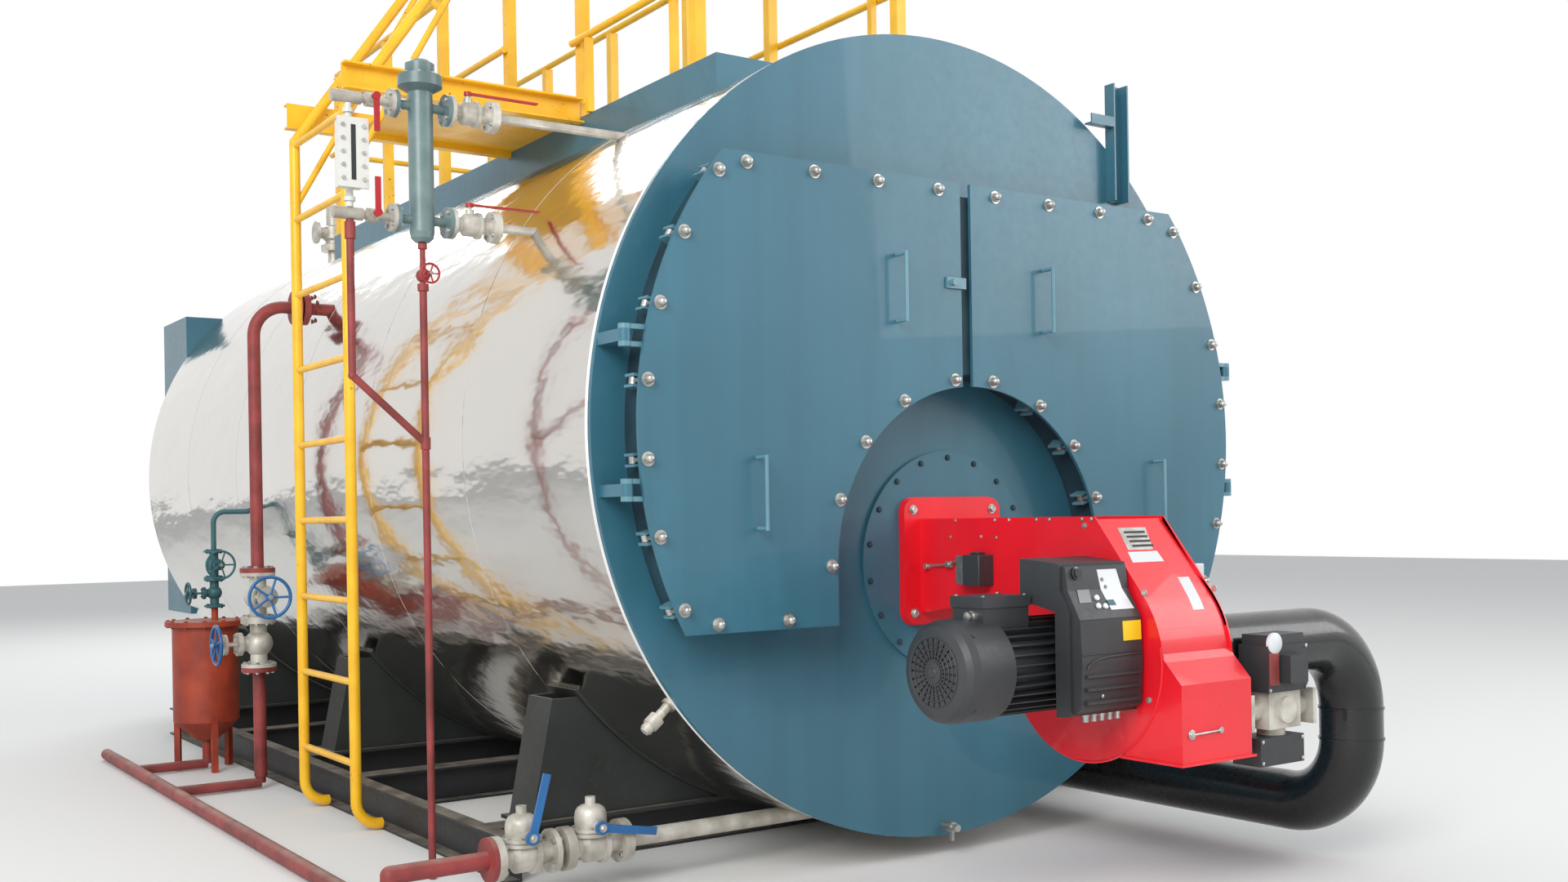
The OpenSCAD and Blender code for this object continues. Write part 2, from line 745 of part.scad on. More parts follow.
// Gauge column group: all of it stands in the plane of the front saddle.
stub_l = 105;
column_top_z = branch_top_z + 70;
column_low_z = branch_low_z - 80;
gauge_x = column_x - gauge_reach;

module level_column() {
    r = column_d / 2;
    color(teal) {
        translate([column_x, 0, 0]) rotate_extrude()
            polygon([[0, column_low_z], [r * 0.6, column_low_z], [r * 0.92, column_low_z + 14],
                     [r, column_low_z + 36], [r, column_top_z - 20], [r + 35, column_top_z],
                     [r + 35, column_top_z + 40], [r + 8, column_top_z + 40], [r + 8, column_top_z + 84],
                     [r - 8, column_top_z + 96], [0, column_top_z + 96]]);
        for (z = [branch_low_z, branch_top_z]) {
            rod_x(column_x - stub_l, column_x + stub_l, 0, z, 34);
            rod_x(column_x + stub_l - 16, column_x + stub_l, 0, z, 115);
            rod_x(column_x - stub_l, column_x - stub_l + 14, 0, z, 100);
        }
    }
}

column_valve_l = 170;
column_body_r = 42;

module column_valve(z) {
    x0 = column_x + stub_l;
    x1 = x0 + column_valve_l;
    translate([x0, 0, z]) ball_valve(column_valve_l, 57.5, column_body_r);
    rod_x(x1 - 1, x1 + 16, 0, z, 119);
    outside_shell() rod_x(x1, -shell_x(z) + 60, 0, z, 34);
}

// Lever on top of a column valve, along its pipe.
module column_lever(z) {
    color(red) translate([column_x + stub_l + column_valve_l * 0.465, 0, z + column_body_r * 1.6 + seat]) {
        cylinder(h = 14, r = 14);
        translate([0, -11, 5]) cube([280, 22, 6]);
    }
}

cock_x0 = column_x - stub_l;
cock_stem_l = 52;

// Ball valves between the column and the shell, and the gauge's cocks.
module gauge_valves() {
    color(steel) for (z = [branch_low_z, branch_top_z]) {
        column_valve(z);
        rod_x(cock_x0 - 14, cock_x0, 0, z, 100);
        rod_x(gauge_x - 60, cock_x0, 0, z, 30);
        rod_x(gauge_x - 60, gauge_x + 45, 0, z, 44);
        rod_x(lever_x - 18, lever_x + 18, 0, z, 50);
        rod_y(0, -cock_stem_l, lever_x, z, 30);
    }
}

module level_gauge() {
    low = branch_low_z + 22 + seat;
    top = branch_top_z - 22 - seat;
    plate_low = low + 60;
    plate_h = top - low - 120;
    slot_h = plate_h - 70;
    color([0.92, 0.92, 0.90]) {
        difference() {
            union() {
                translate([gauge_x - 55, -50, plate_low]) cube([110, 14, plate_h]);
                translate([gauge_x - 42, -40, plate_low + 6]) cube([84, 60, plate_h - 12]);
            }
            translate([gauge_x - 6, -51, plate_low + 35]) cube([12, 30, slot_h]);
        }
        rod_z(low, plate_low + 10, gauge_x, 0, 26);
        rod_z(plate_low + plate_h - 10, top, gauge_x, 0, 26);
        for (z = [low + 20, top - 34]) rod_z(z, z + 14, gauge_x, 0, 40);
    }
}

lever_x = gauge_x + 80;

// Lever of a gauge cock, hanging down when way is -1 and standing up when it is 1.
module gauge_lever(z, way) {
    hub_y = -cock_stem_l - seat;
    color(red) {
        rod_y(hub_y, hub_y - 20, lever_x, z, 28);
        translate([lever_x - 10, hub_y - 18, z + way * 65 - 60]) cube([20, 8, 120]);
    }
}

module gauge_drain_pipes() {
    join_z = 1574;
    knee_z = 1809;
    color(pipe_red) {
        rod_z(0, column_low_z - 150, column_x, 0, 27);
        rod_z(column_low_z - 175, column_low_z - 150, column_x, 0, 40);
        rod_z(column_low_z - 150, column_low_z, column_x, 0, 21);
        rod_z(column_low_z - 24, column_low_z - 4, column_x, 0, 34);
        translate([column_x, 0, drain_wheel_z]) sphere(d = 50);
        rod_y(0, -wheel_reach + 20, column_x, drain_wheel_z, 24);
        rod_z(knee_z, branch_low_z - 22 - seat, gauge_x, 0, 27);
        rod_z(branch_low_z - 90, branch_low_z - 30, gauge_x, 0, 38);
        translate([gauge_x, 0, knee_z]) sphere(d = 31);
        translate([gauge_x, 0, knee_z])
            rotate([0, 90 + atan((knee_z - join_z) / gauge_reach), 0])
                cylinder(h = norm([gauge_reach, knee_z - join_z]), d = 27);
        rod_z(join_z - 22, join_z + 22, column_x, 0, 36);
    }
}

// A handwheel about Z, with its rim's middle in the plane z = 0 and its spindle below.
module handwheel(r, spokes, bar, spindle) {
    rotate_extrude() translate([r - bar / 2, 0]) circle(d = bar, $fn = 32);
    for (i = [1 : spokes]) rotate([0, 90, i * 360 / spokes]) cylinder(h = r - bar / 2, d = bar * 0.7);
    translate([0, 0, -bar]) cylinder(h = 2 * bar, r = bar);
    translate([0, 0, -spindle + seat]) cylinder(h = spindle, r = bar * 0.6);
}

drain_wheel_z = column_low_z - 120;
wheel_reach = 70;

module drain_handwheel() {
    color(red) translate([column_x, -wheel_reach, drain_wheel_z]) rotate([90, 0, 0])
        handwheel(38, 5, 8, 20);
}

// Feed pipe

valve_top_z = 1060;
valve_one_z = 940;
globe_h = 230;
valve_two_z = valve_one_z - globe_h;
valve_low_z = 590;
globe_r = 66;
globe_reach = 170;

module feed_pipe() {
    nozzle_x = -shell_x(feed_z);
    color(pipe_red) {
        outside_shell() rod_x(feed_x + 150, nozzle_x + 60, feed_y, feed_z, feed_d);
        for (x = [nozzle_x - 150, nozzle_x - 190]) rod_x(x, x + 30, feed_y, feed_z, 165);
        translate([feed_x + 150, feed_y, feed_z]) rotate([90, 180, 0]) bend(150, feed_d);
        rod_z(valve_top_z, feed_z - 150, feed_x, feed_y, feed_d);
        rod_z(valve_one_z + globe_h / 2, valve_top_z + 18, feed_x, feed_y, 165);
        rod_z(60, valve_low_z, feed_x, feed_y, feed_d);
        rod_z(valve_low_z - 18, valve_two_z - globe_h / 2, feed_x, feed_y, 165);
    }
}

module feed_valves() {
    color(steel) {
        translate([feed_x, feed_y, valve_two_z]) rotate([0, 0, -90])
            globe_valve(globe_h, 82, globe_r, globe_reach);
        translate([feed_x, feed_y, valve_one_z]) globe_valve(globe_h, 82, globe_r, globe_reach);
    }
}

module feed_handwheel_front() {
    color(blue) translate([feed_x, feed_y - globe_reach - 30, valve_one_z]) rotate([90, 0, 0])
        handwheel(105, 5, 16, 30);
}

module feed_handwheel_side() {
    color(blue) translate([feed_x - globe_reach - 30, feed_y, valve_two_z]) rotate([0, -90, 0])
        handwheel(100, 5, 16, 30);
}

// Drain pot, its small valves and the floor manifold

pot_x = feed_x - 50;
pot_stub_x = pot_x + 50;
pot_valve_low_z = 930;
pot_valve_h = 150;
pot_valve_top_z = pot_valve_low_z + pot_valve_h;
pot_valve_reach = 110;
pot_low_z = 260;
pot_h = 500;

module drain_pot() {
    lid_z = pot_low_z + pot_h + 26;
    color([0.72, 0.27, 0.12]) {
        difference() {
            translate([pot_x, pot_y, pot_low_z]) rotate_extrude()
                polygon([[0, -100], [60, -100], [pot_r, 0], [pot_r, pot_h], [pot_r + 35, pot_h],
                         [pot_r + 35, pot_h + 26], [0, pot_h + 26]]);
            translate([pot_x, pot_y, pot_low_z]) rotate_extrude()
                polygon([[0, -84], [50, -84], [pot_r - 8, 4], [pot_r - 8, pot_h], [0, pot_h]]);
        }
        rod_z(lid_z, pot_valve_low_z - pot_valve_h / 2, pot_stub_x, pot_y, 34);
        rod_z(60, pot_low_z - 100, pot_x, pot_y, 48);
        for (a = [30, 150, 270]) translate([pot_x, pot_y, 0]) rotate([0, 0, a])
            translate([pot_r - 30, -15, 0]) cube([30, 30, pot_low_z + 60]);
    }
}

module pot_valves() {
    thin_z = 1360;
    thin_r = 60;
    color(teal) {
        translate([pot_stub_x, pot_y, pot_valve_low_z]) rotate([0, 0, -90])
            globe_valve(pot_valve_h, 52, 38, pot_valve_reach);
        translate([pot_stub_x, pot_y, pot_valve_top_z]) globe_valve(pot_valve_h, 52, 38, pot_valve_reach);
        rod_z(pot_valve_top_z + pot_valve_h / 2, thin_z - thin_r, pot_stub_x, pot_y, 27);
        translate([pot_stub_x + thin_r, pot_y, thin_z]) rotate([90, 180, 0]) bend(thin_r, 27);
        outside_shell() rod_x(pot_stub_x + thin_r, -shell_x(thin_z) + 30, pot_y, thin_z, 27);
    }
}

module pot_handwheel_front() {
    color(teal) translate([pot_stub_x, pot_y - pot_valve_reach - 24, pot_valve_top_z]) rotate([90, 0, 0])
        handwheel(78, 5, 12, 24);
}

module pot_handwheel_side() {
    color(teal) translate([pot_stub_x - pot_valve_reach - 24, pot_y, pot_valve_low_z]) rotate([0, -90, 0])
        handwheel(62, 5, 12, 24);
}

manifold_z = manifold_d / 2;

blow_outer_x = -1600;
blow_inner_x = -1340;
blow_flange_x = blow_outer_x - 90;

module drain_manifold() {
    end_y = pot_y + 700;
    color(pipe_red) {
        rod_y(blow_y, end_y, manifold_x, manifold_z, manifold_d);
        translate([manifold_x, blow_y, manifold_z]) sphere(d = manifold_d);
        rod_z(manifold_z, blow_z, manifold_x, blow_y, manifold_d);
        translate([manifold_x, blow_y, blow_z]) sphere(d = manifold_d);
        rod_x(manifold_x, blow_flange_x - 20, blow_y, blow_z, blow_d);
        rod_x(blow_flange_x - 38, blow_flange_x - 20, blow_y, blow_z, 150);
        rod_x(manifold_x, pot_x, pot_y, manifold_z, 48);
        rod_x(manifold_x, feed_x, feed_y, manifold_z, 48);
        rod_z(manifold_z, 60, feed_x, feed_y, 48);
        rod_z(manifold_z, 60, pot_x, pot_y, 48);
    }
}

// Two ball valves with their stems towards the front, the pipe to the shell and a small cock.
module bottom_valves() {
    color(steel) {
        outside_shell() rod_x(blow_flange_x - 20, -400, blow_y, blow_z, blow_d);
        for (x = [blow_outer_x, blow_inner_x]) {
            translate([x - blow_valve_l * 0.465, blow_y, blow_z]) ball_valve(blow_valve_l, 75, 58);
            rod_y(blow_y, blow_y - blow_stem_l, x, blow_z + 70, 40);
            translate([x - 26, blow_y - 40, blow_z + 20]) cube([52, 60, 100]);
        }
        rod_x(blow_flange_x - 20, blow_outer_x, blow_y, blow_z, 50);
        for (x = [blow_flange_x - 20, blow_inner_x - 118, blow_inner_x + 118])
            rod_x(x, x + 18, blow_y, blow_z, 150);
        test_cock();
    }
}

// Small cock on the underside of the shell.
module test_cock() {
    y = -700;
    z = 620;
    x = -shell_x(z);
    outside_shell() translate([x, y, z]) rotate([0, -130, 0]) cylinder(h = 190, d = 34, center = true);
    translate([x, y, z]) rotate([0, -130, 0]) {
        translate([0, 0, 26]) cylinder(h = 40, d = 56);
        translate([0, 0, 66]) cylinder(h = 22, d = 44);
    }
}

blow_valve_l = 220;
blow_stem_l = 78;

lever_l = 215;

// A lever whose arm points up when turn is 0 and towards +X at 90.
module blowdown_lever(x, turn) {
    y = blow_y - blow_stem_l - seat;
    color(blue) translate([x, y, blow_z + 70]) rotate([90, turn, 0]) {
        cylinder(h = 14, r = 24);
        translate([-14, 0, 4]) cube([28, lever_l, 8]);
    }
}

// Ladder

ladder_bend_z = deck_z - 102;
ladder_lean = 35;
handrail_l = 1016;
first_rung_z = 284;

module ladder_rail(y) {
    foot_r = 100;
    foot_z = rail_d / 2 + 4;
    rod_z(foot_z + foot_r, ladder_bend_z, ladder_x, y, rail_d);
    translate([ladder_x + foot_r, y, foot_z]) rotate([-90, 180, 0]) bend(foot_r, rail_d);
    rod_x(ladder_x + foot_r, -skid_half_w - seat, y, foot_z, rail_d);
    translate([ladder_x, y, ladder_bend_z]) {
        sphere(d = rail_d);
        rotate([0, ladder_lean, 0]) cylinder(h = handrail_l, d = rail_d);
    }
    translate([ladder_x, y, ladder_bend_z - 294]) {
        sphere(d = 29);
        rotate([0, ladder_lean - 6, 0]) cylinder(h = handrail_l + 271, d = 27);
    }
    translate([ladder_x, y, ladder_bend_z]) rotate([0, ladder_lean, 0]) translate([0, 0, handrail_l - 14])
        rotate([0, 90, 0]) cylinder(h = 149, d = 27);
}

module ladder() {
    color(yellow) {
        for (y = [ladder_y, ladder_y + ladder_w]) ladder_rail(y);
        for (z = [first_rung_z : rung_pitch : ladder_bend_z])
            rod_y(ladder_y, ladder_y + ladder_w, ladder_x, z, rung_d);
    }
}

// Two channels beside the ladder's rails, standing above the plate between them as toe boards.
module landing() {
    beam_w = 50;
    beam_rise = 80;
    beam_l = 112;
    x0 = ladder_x - rail_d / 2;
    x1 = -deck_w / 2 - seat;
    near_y = ladder_y - rail_d / 2 - seat - beam_w;
    far_y = ladder_y + ladder_w + rail_d / 2 + seat;
    plate_x = ladder_x + 300;
    color(yellow) {
        for (far = [0, 1]) translate([x0, far == 1 ? far_y + beam_w : near_y, deck_z + beam_rise - beam_l])
            mirror([0, far, 0]) difference() {
                cube([x1 - x0, beam_w, beam_l]);
                translate([-1, -1, 8]) cube([x1 - x0 + 2, beam_w - 7, beam_l - 16]);
            }
        translate([plate_x, near_y + beam_w - 1, deck_z - 6])
            cube([x1 - plate_x, far_y - near_y - beam_w + 2, 6]);
    }
}

// Walkway on top of the shell

deck_y = -210;

deck_end_y = deck_y + deck_l;
bearer_n = 6;

// Deck plate, side beams shaped to the shell, and bearers under the plate.
module platform() {
    plate_t = 6;
    bearer_pitch = (deck_l - 8) / (bearer_n - 1);
    color(teal) {
        translate([-deck_w / 2, deck_y, deck_z - plate_t]) cube([deck_w, deck_l, plate_t]);
        outside_shell() {
            for (s = [-1, 1])
                translate([s < 0 ? -deck_w / 2 : deck_w / 2 - 8, deck_y, deck_z - fascia_h])
                    cube([8, deck_l, fascia_h]);
            for (i = [0 : bearer_n - 1])
                translate([-deck_w / 2, deck_y + i * bearer_pitch, deck_z - fascia_h])
                    cube([deck_w, 8, fascia_h]);
        }
    }
}

// Posts: the left row leaves a gate where the landing meets the deck.
gate_front_y = ladder_y + 25;
gate_end_y = ladder_y + ladder_w + rail_d / 2 + 50;
last_post_y = deck_end_y - post_w;
front_post_y = deck_y + 165;
function spread(a, b, n) = [for (i = [0 : n - 1]) a + i * (b - a) / (n - 1)];
post_ys = concat([front_post_y, gate_front_y - post_w], spread(gate_end_y, last_post_y, post_n));
stile_w = 30;
stile_y = front_post_y + 195;
short_stile_y = gate_front_y - 180;

function post_x(side) = side * (deck_w / 2 - post_w / 2 - 10);

// Thick posts and, in front, thin stiles; the short one ends under the middle rail.
module railing_posts(side) {
    post_l = railing_h - top_rail_d - seat;
    color(yellow) {
        for (y = post_ys) translate([post_x(side) - post_w / 2, y, deck_z]) cube([post_w, post_w, post_l]);
        translate([post_x(side) - stile_w / 2, stile_y, deck_z]) cube([stile_w, stile_w, post_l]);
        if (side < 0) translate([rail_x(side) - stile_w / 2, short_stile_y, deck_z])
            cube([stile_w, stile_w, gate_rails_z[0] - mid_rail_d / 2 - seat - deck_z]);
    }
}

top_rail_d = 40;
mid_rail_d = 34;
top_rail_z = deck_z + railing_h - top_rail_d / 2;
mid_rails_z = [deck_z + railing_h * 0.49];
gate_rails_z = [deck_z + railing_h / 3, deck_z + railing_h * 2 / 3];
function rail_x(side) = post_x(side) + side * (post_w + mid_rail_d + 2 * seat) / 2;

// Top and middle rails; the right ones turn across both ends of the deck.
module railing_rails(side) {
    spans = side < 0 ? [[front_post_y, gate_front_y, gate_rails_z], [gate_end_y, deck_end_y, mid_rails_z]]
                     : [[front_post_y, deck_end_y, mid_rails_z]];
    color(yellow) {
        for (span = spans) {
            rod_y(span[0], span[1], post_x(side), top_rail_z, top_rail_d);
            for (z = span[2]) rod_y(span[0], span[1], rail_x(side), z, mid_rail_d);
        }
        if (side > 0) for (y = [front_post_y + post_w / 2, last_post_y + post_w / 2]) {
            top_x = post_x(1) - top_rail_d / 2 - seat;
            mid_x = post_x(1) - post_w / 2 - seat;
            rod_x(-top_x, top_x, y, top_rail_z, top_rail_d);
            for (z = mid_rails_z) rod_x(-mid_x, mid_x, y, z, mid_rail_d);
        }
    }
}

// Skid and saddles

// A channel drawn with its web on the right and its flanges to the left.
module channel(h, b, t) {
    polygon([[0, 0], [0, h], [-b, h], [-b, h - t], [-t, h - t], [-t, t], [-b, t], [-b, 0]]);
}

skid_front_y = -saddle_w;
skid_end_y = 2 * saddle_pitch + saddle_w;

module skid_beam(side) {
    color(black) translate([side * (skid_half_w - beam_b), 0, 0]) mirror([side > 0 ? 1 : 0, 0, 0])
        facing(skid_end_y, skid_end_y - skid_front_y) channel(beam_h, beam_b, beam_t);
}

// Cross beams: I sections, notched where the shell comes down between them.
wear_t = 12;
wear_r = shell_r + seat + wear_t;
notch_gap = wear_t + 2 * seat;
cross_ys = [0, saddle_pitch * 0.65, saddle_pitch, saddle_pitch * 1.5, saddle_pitch * 2];

module skid_cross_beams() {
    span = skid_half_w - beam_b;
    color(black) difference() {
        for (y = cross_ys) sideways(-span, 2 * span) translate([y, 0]) {
            translate([-beam_b, 0]) square([2 * beam_b, beam_t]);
            translate([-beam_b, beam_h - beam_t]) square([2 * beam_b, beam_t]);
            translate([-beam_t, 0]) square([2 * beam_t, beam_h]);
        }
        facing(rear_y, shell_length) translate([0, axis_z]) circle(r = shell_r + notch_gap, $fn = round_fn);
    }
}

saddle_top_z = 620;

// A saddle: two shaped plates, ribs between them, foot plates and a curved wear plate.
module saddle(y) {
    rib_xs = [saddle_rib_x, (saddle_rib_x + saddle_foot_x) / 2 - 20];
    web_y = saddle_w / 2 - 25;
    color(grey) {
        outside_wear_plate() {
            for (face_y = [y - web_y + saddle_t, y + web_y]) facing(face_y, saddle_t)
                polygon([[-saddle_foot_x, beam_h], [saddle_foot_x, beam_h],
                         [saddle_top_x, saddle_top_z], [-saddle_top_x, saddle_top_z]]);
            for (s = [-1, 1]) {
                for (x = rib_xs) translate([s * x - saddle_t / 2, y - web_y + saddle_t / 2, beam_h])
                    cube([saddle_t, 2 * web_y - saddle_t, saddle_top_z - beam_h]);
                facing(y + web_y - 1, 2 * web_y - 2)
                    polygon([[s * saddle_foot_x, beam_h], [s * (saddle_foot_x - saddle_t), beam_h],
                             [s * (saddle_top_x - saddle_t), saddle_top_z],
                             [s * saddle_top_x, saddle_top_z]]);
                translate([s < 0 ? -saddle_foot_x - 20 : saddle_plate_x, y - saddle_w / 2, beam_h])
                    cube([saddle_foot_x + 20 - saddle_plate_x, saddle_w, saddle_t]);
            }
        }
        wear_plate(y);
    }
}

saddle_rib_x = 820;
saddle_plate_x = 520;

module outside_wear_plate() {
    difference() {
        children();
        facing(rear_y, shell_length) translate([0, axis_z]) circle(r = wear_r - 1, $fn = round_fn);
    }
}

module wear_plate(y) {
    facing(y + saddle_w / 2, saddle_w) difference() {
        translate([0, axis_z]) circle(r = wear_r, $fn = round_fn);
        translate([0, axis_z]) circle(r = shell_r + seat, $fn = round_fn);
        translate([-2 * shell_r, saddle_top_z + 30]) square([4 * shell_r, 2 * shell_r]);
    }
}

// Steam outlet and safety valves on top of the shell, behind the walkway

outlet_y = deck_end_y + 560;
steam_flange_r = 143;
steam_flange_z = axis_z + shell_r + 200;
steam_pcd = 240;

module steam_fittings() {
    color(steel) {
        steam_outlet();
        safety_valves();
    }
}

module steam_outlet() {
    difference() {
        outside_shell() {
            rod_z(axis_z + shell_r - 20, steam_flange_z, 0, outlet_y, 2 * steam_r + 16);
            rod_z(steam_flange_z - 24, steam_flange_z, 0, outlet_y, 2 * steam_flange_r);
        }
        rod_z(steam_flange_z - 150, steam_flange_z + 1, 0, outlet_y, 2 * steam_r);
        for (a = [22.5 : 45 : 337.5])
            rod_z(steam_flange_z - 30, steam_flange_z + 1, steam_pcd / 2 * cos(a),
                  outlet_y + steam_pcd / 2 * sin(a), 22);
    }
}

module safety_valves() {
    for (s = [-1, 1]) {
        x = s * 380;
        z0 = shell_top(x);
        outside_shell() rod_z(z0 - 30, z0 + 110, x, outlet_y, 70);
        translate([x, outlet_y, z0 + 100]) rotate_extrude()
            polygon([[0, 0], [80, 0], [80, 40], [50, 46], [50, 70], [66, 84], [66, 160], [44, 176],
                     [44, 290], [30, 306], [0, 306]]);
        rod_x(x, x + s * 120, outlet_y, z0 + 222, 80);
        rod_x(x + s * 106, x + s * 122, outlet_y, z0 + 222, 150);
    }
}

barrel();
cladding();
front_plate();
door_frame();
tube_plate();
tube_ends();
rear_plate();
rear_smoke_box();
hinge_brackets();
bolt_lugs();
plate_bracket();
burner_plate();
burner_flange();
burner_housing();
burner_motor();
burner_control_box();
gas_valve();
gas_actuators();
flue_gas_pipe();
level_column();
gauge_valves();
level_gauge();
gauge_drain_pipes();
feed_pipe();
feed_valves();
drain_pot();
pot_valves();
drain_manifold();
bottom_valves();
ladder();
landing();
platform();
railing_posts(-1);  // railing_posts_left
railing_posts(1);  // railing_posts_right
railing_rails(-1);  // railing_rails_left
railing_rails(1);  // railing_rails_right
skid_beam(-1);  // skid_beam_left
skid_beam(1);  // skid_beam_right
skid_cross_beams();
saddle(0);  // saddle_front
saddle(saddle_pitch);  // saddle_middle
saddle(2 * saddle_pitch);  // saddle_rear
steam_fittings();
door_plate(-1);  // left_door
door_lining(-1);  // left_door_lining
door_fittings(-1);  // left_door_fittings
door_plate(1);  // right_door
door_lining(1);  // right_door_lining
door_fittings(1);  // right_door_fittings
blowdown_lever(blow_outer_x, 15);  // blowdown_lever_outer
blowdown_lever(blow_inner_x, 100);  // blowdown_lever_inner
feed_handwheel_front();
feed_handwheel_side();
drain_handwheel();
gauge_lever(branch_top_z, -1);  // gauge_lever_top
gauge_lever(branch_low_z, 1);  // gauge_lever_low
column_lever(branch_top_z);  // column_lever_top
column_lever(branch_low_z);  // column_lever_low
pot_handwheel_front();
pot_handwheel_side();
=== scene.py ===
import json
import math

import bmesh
import bpy
from mathutils import Matrix, Vector


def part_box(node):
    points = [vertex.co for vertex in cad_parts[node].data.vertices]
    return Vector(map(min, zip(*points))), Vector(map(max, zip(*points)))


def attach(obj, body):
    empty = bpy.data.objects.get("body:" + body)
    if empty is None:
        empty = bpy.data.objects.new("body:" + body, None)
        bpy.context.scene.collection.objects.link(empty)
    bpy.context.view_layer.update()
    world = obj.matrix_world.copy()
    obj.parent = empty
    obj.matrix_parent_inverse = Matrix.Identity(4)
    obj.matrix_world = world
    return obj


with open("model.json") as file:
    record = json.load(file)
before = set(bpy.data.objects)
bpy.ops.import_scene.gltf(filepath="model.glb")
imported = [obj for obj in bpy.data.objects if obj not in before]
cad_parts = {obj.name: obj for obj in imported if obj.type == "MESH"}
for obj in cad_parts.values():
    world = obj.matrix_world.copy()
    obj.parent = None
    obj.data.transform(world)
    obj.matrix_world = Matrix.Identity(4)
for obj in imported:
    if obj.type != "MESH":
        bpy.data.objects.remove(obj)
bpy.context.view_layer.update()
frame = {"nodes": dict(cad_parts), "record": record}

SCENE = bpy.context.scene


# Materials

DUST = (168, 158, 142)
RUST = (104, 66, 42)
# Values of the noise at which the dark tone ends and the full tone begins
DARK_UP_TO, FULL_FROM = 0.35, 0.65


def linear(rgb):
    """Linear colour from an sRGB one given in 0 to 255."""
    def one(v):
        v /= 255
        return v / 12.92 if v <= 0.04045 else ((v + 0.055) / 1.055) ** 2.4
    return tuple(one(v) for v in rgb) + (1.0,)


def new_material(name, rgb, roughness, metallic=0.0):
    """A material with its Principled node, its nodes and its links."""
    mat = bpy.data.materials.new(name)
    mat.use_nodes = True
    nodes = mat.node_tree.nodes
    shader = nodes["Principled BSDF"]
    shader.inputs["Base Color"].default_value = linear(rgb)
    shader.inputs["Roughness"].default_value = roughness
    shader.inputs["Metallic"].default_value = metallic
    return mat, shader, nodes, mat.node_tree.links


def noise(nodes, links, scale, detail=4.0, stretch=(1, 1, 1)):
    """A noise texture in object coordinates, which are metres here."""
    coords = nodes.new("ShaderNodeTexCoord")
    mapping = nodes.new("ShaderNodeMapping")
    mapping.inputs["Scale"].default_value = stretch
    tex = nodes.new("ShaderNodeTexNoise")
    tex.inputs["Scale"].default_value = scale
    tex.inputs["Detail"].default_value = detail
    links.new(coords.outputs["Object"], mapping.inputs["Vector"])
    links.new(mapping.outputs["Vector"], tex.inputs["Vector"])
    return tex


def mix_colour(nodes, links, factor, first, second):
    """Mixes a colour socket with a fixed sRGB colour by a factor socket."""
    mix = nodes.new("ShaderNodeMix")
    mix.data_type = "RGBA"
    links.new(factor, mix.inputs["Factor"])
    links.new(first, mix.inputs[6])
    mix.inputs[7].default_value = linear(second)
    return mix.outputs[2]


def ranged(nodes, links, value, low, high, to_low, to_high):
    """Maps a socket's range low to high onto to_low to to_high, clamped."""
    node = nodes.new("ShaderNodeMapRange")
    limits = {"From Min": low, "From Max": high, "To Min": to_low, "To Max": to_high}
    for key, number in limits.items():
        node.inputs[key].default_value = number
    links.new(value, node.inputs["Value"])
    return node.outputs["Result"]


def multiplied(nodes, links, first, second):
    """The product of two value sockets."""
    node = nodes.new("ShaderNodeMath")
    node.operation = "MULTIPLY"
    links.new(first, node.inputs[0])
    links.new(second, node.inputs[1])
    return node.outputs["Value"]


def settled_dust(nodes, links, colour, amount):
    """Pale dust on what faces up, thicker in patches."""
    geometry = nodes.new("ShaderNodeNewGeometry")
    parts = nodes.new("ShaderNodeSeparateXYZ")
    links.new(geometry.outputs["Normal"], parts.inputs["Vector"])
    up = ranged(nodes, links, parts.outputs["Z"], 0.55, 0.95, 0.0, amount)
    grain = noise(nodes, links, 9.0, 6).outputs["Fac"]
    patches = ranged(nodes, links, grain, 0.35, 0.65, 0.3, 1.0)
    return mix_colour(nodes, links, multiplied(nodes, links, up, patches), colour, DUST)


def chipped(nodes, links, colour, amount):
    """Small spots where the paint has gone and the steel has rusted."""
    grain = noise(nodes, links, 55.0, 5).outputs["Fac"]
    spots = ranged(nodes, links, grain, 0.66, 0.70, 0.0, amount)
    clouds = noise(nodes, links, 2.5, 3).outputs["Fac"]
    areas = ranged(nodes, links, clouds, 0.45, 0.60, 0.0, 1.0)
    return mix_colour(nodes, links, multiplied(nodes, links, spots, areas), colour, RUST)


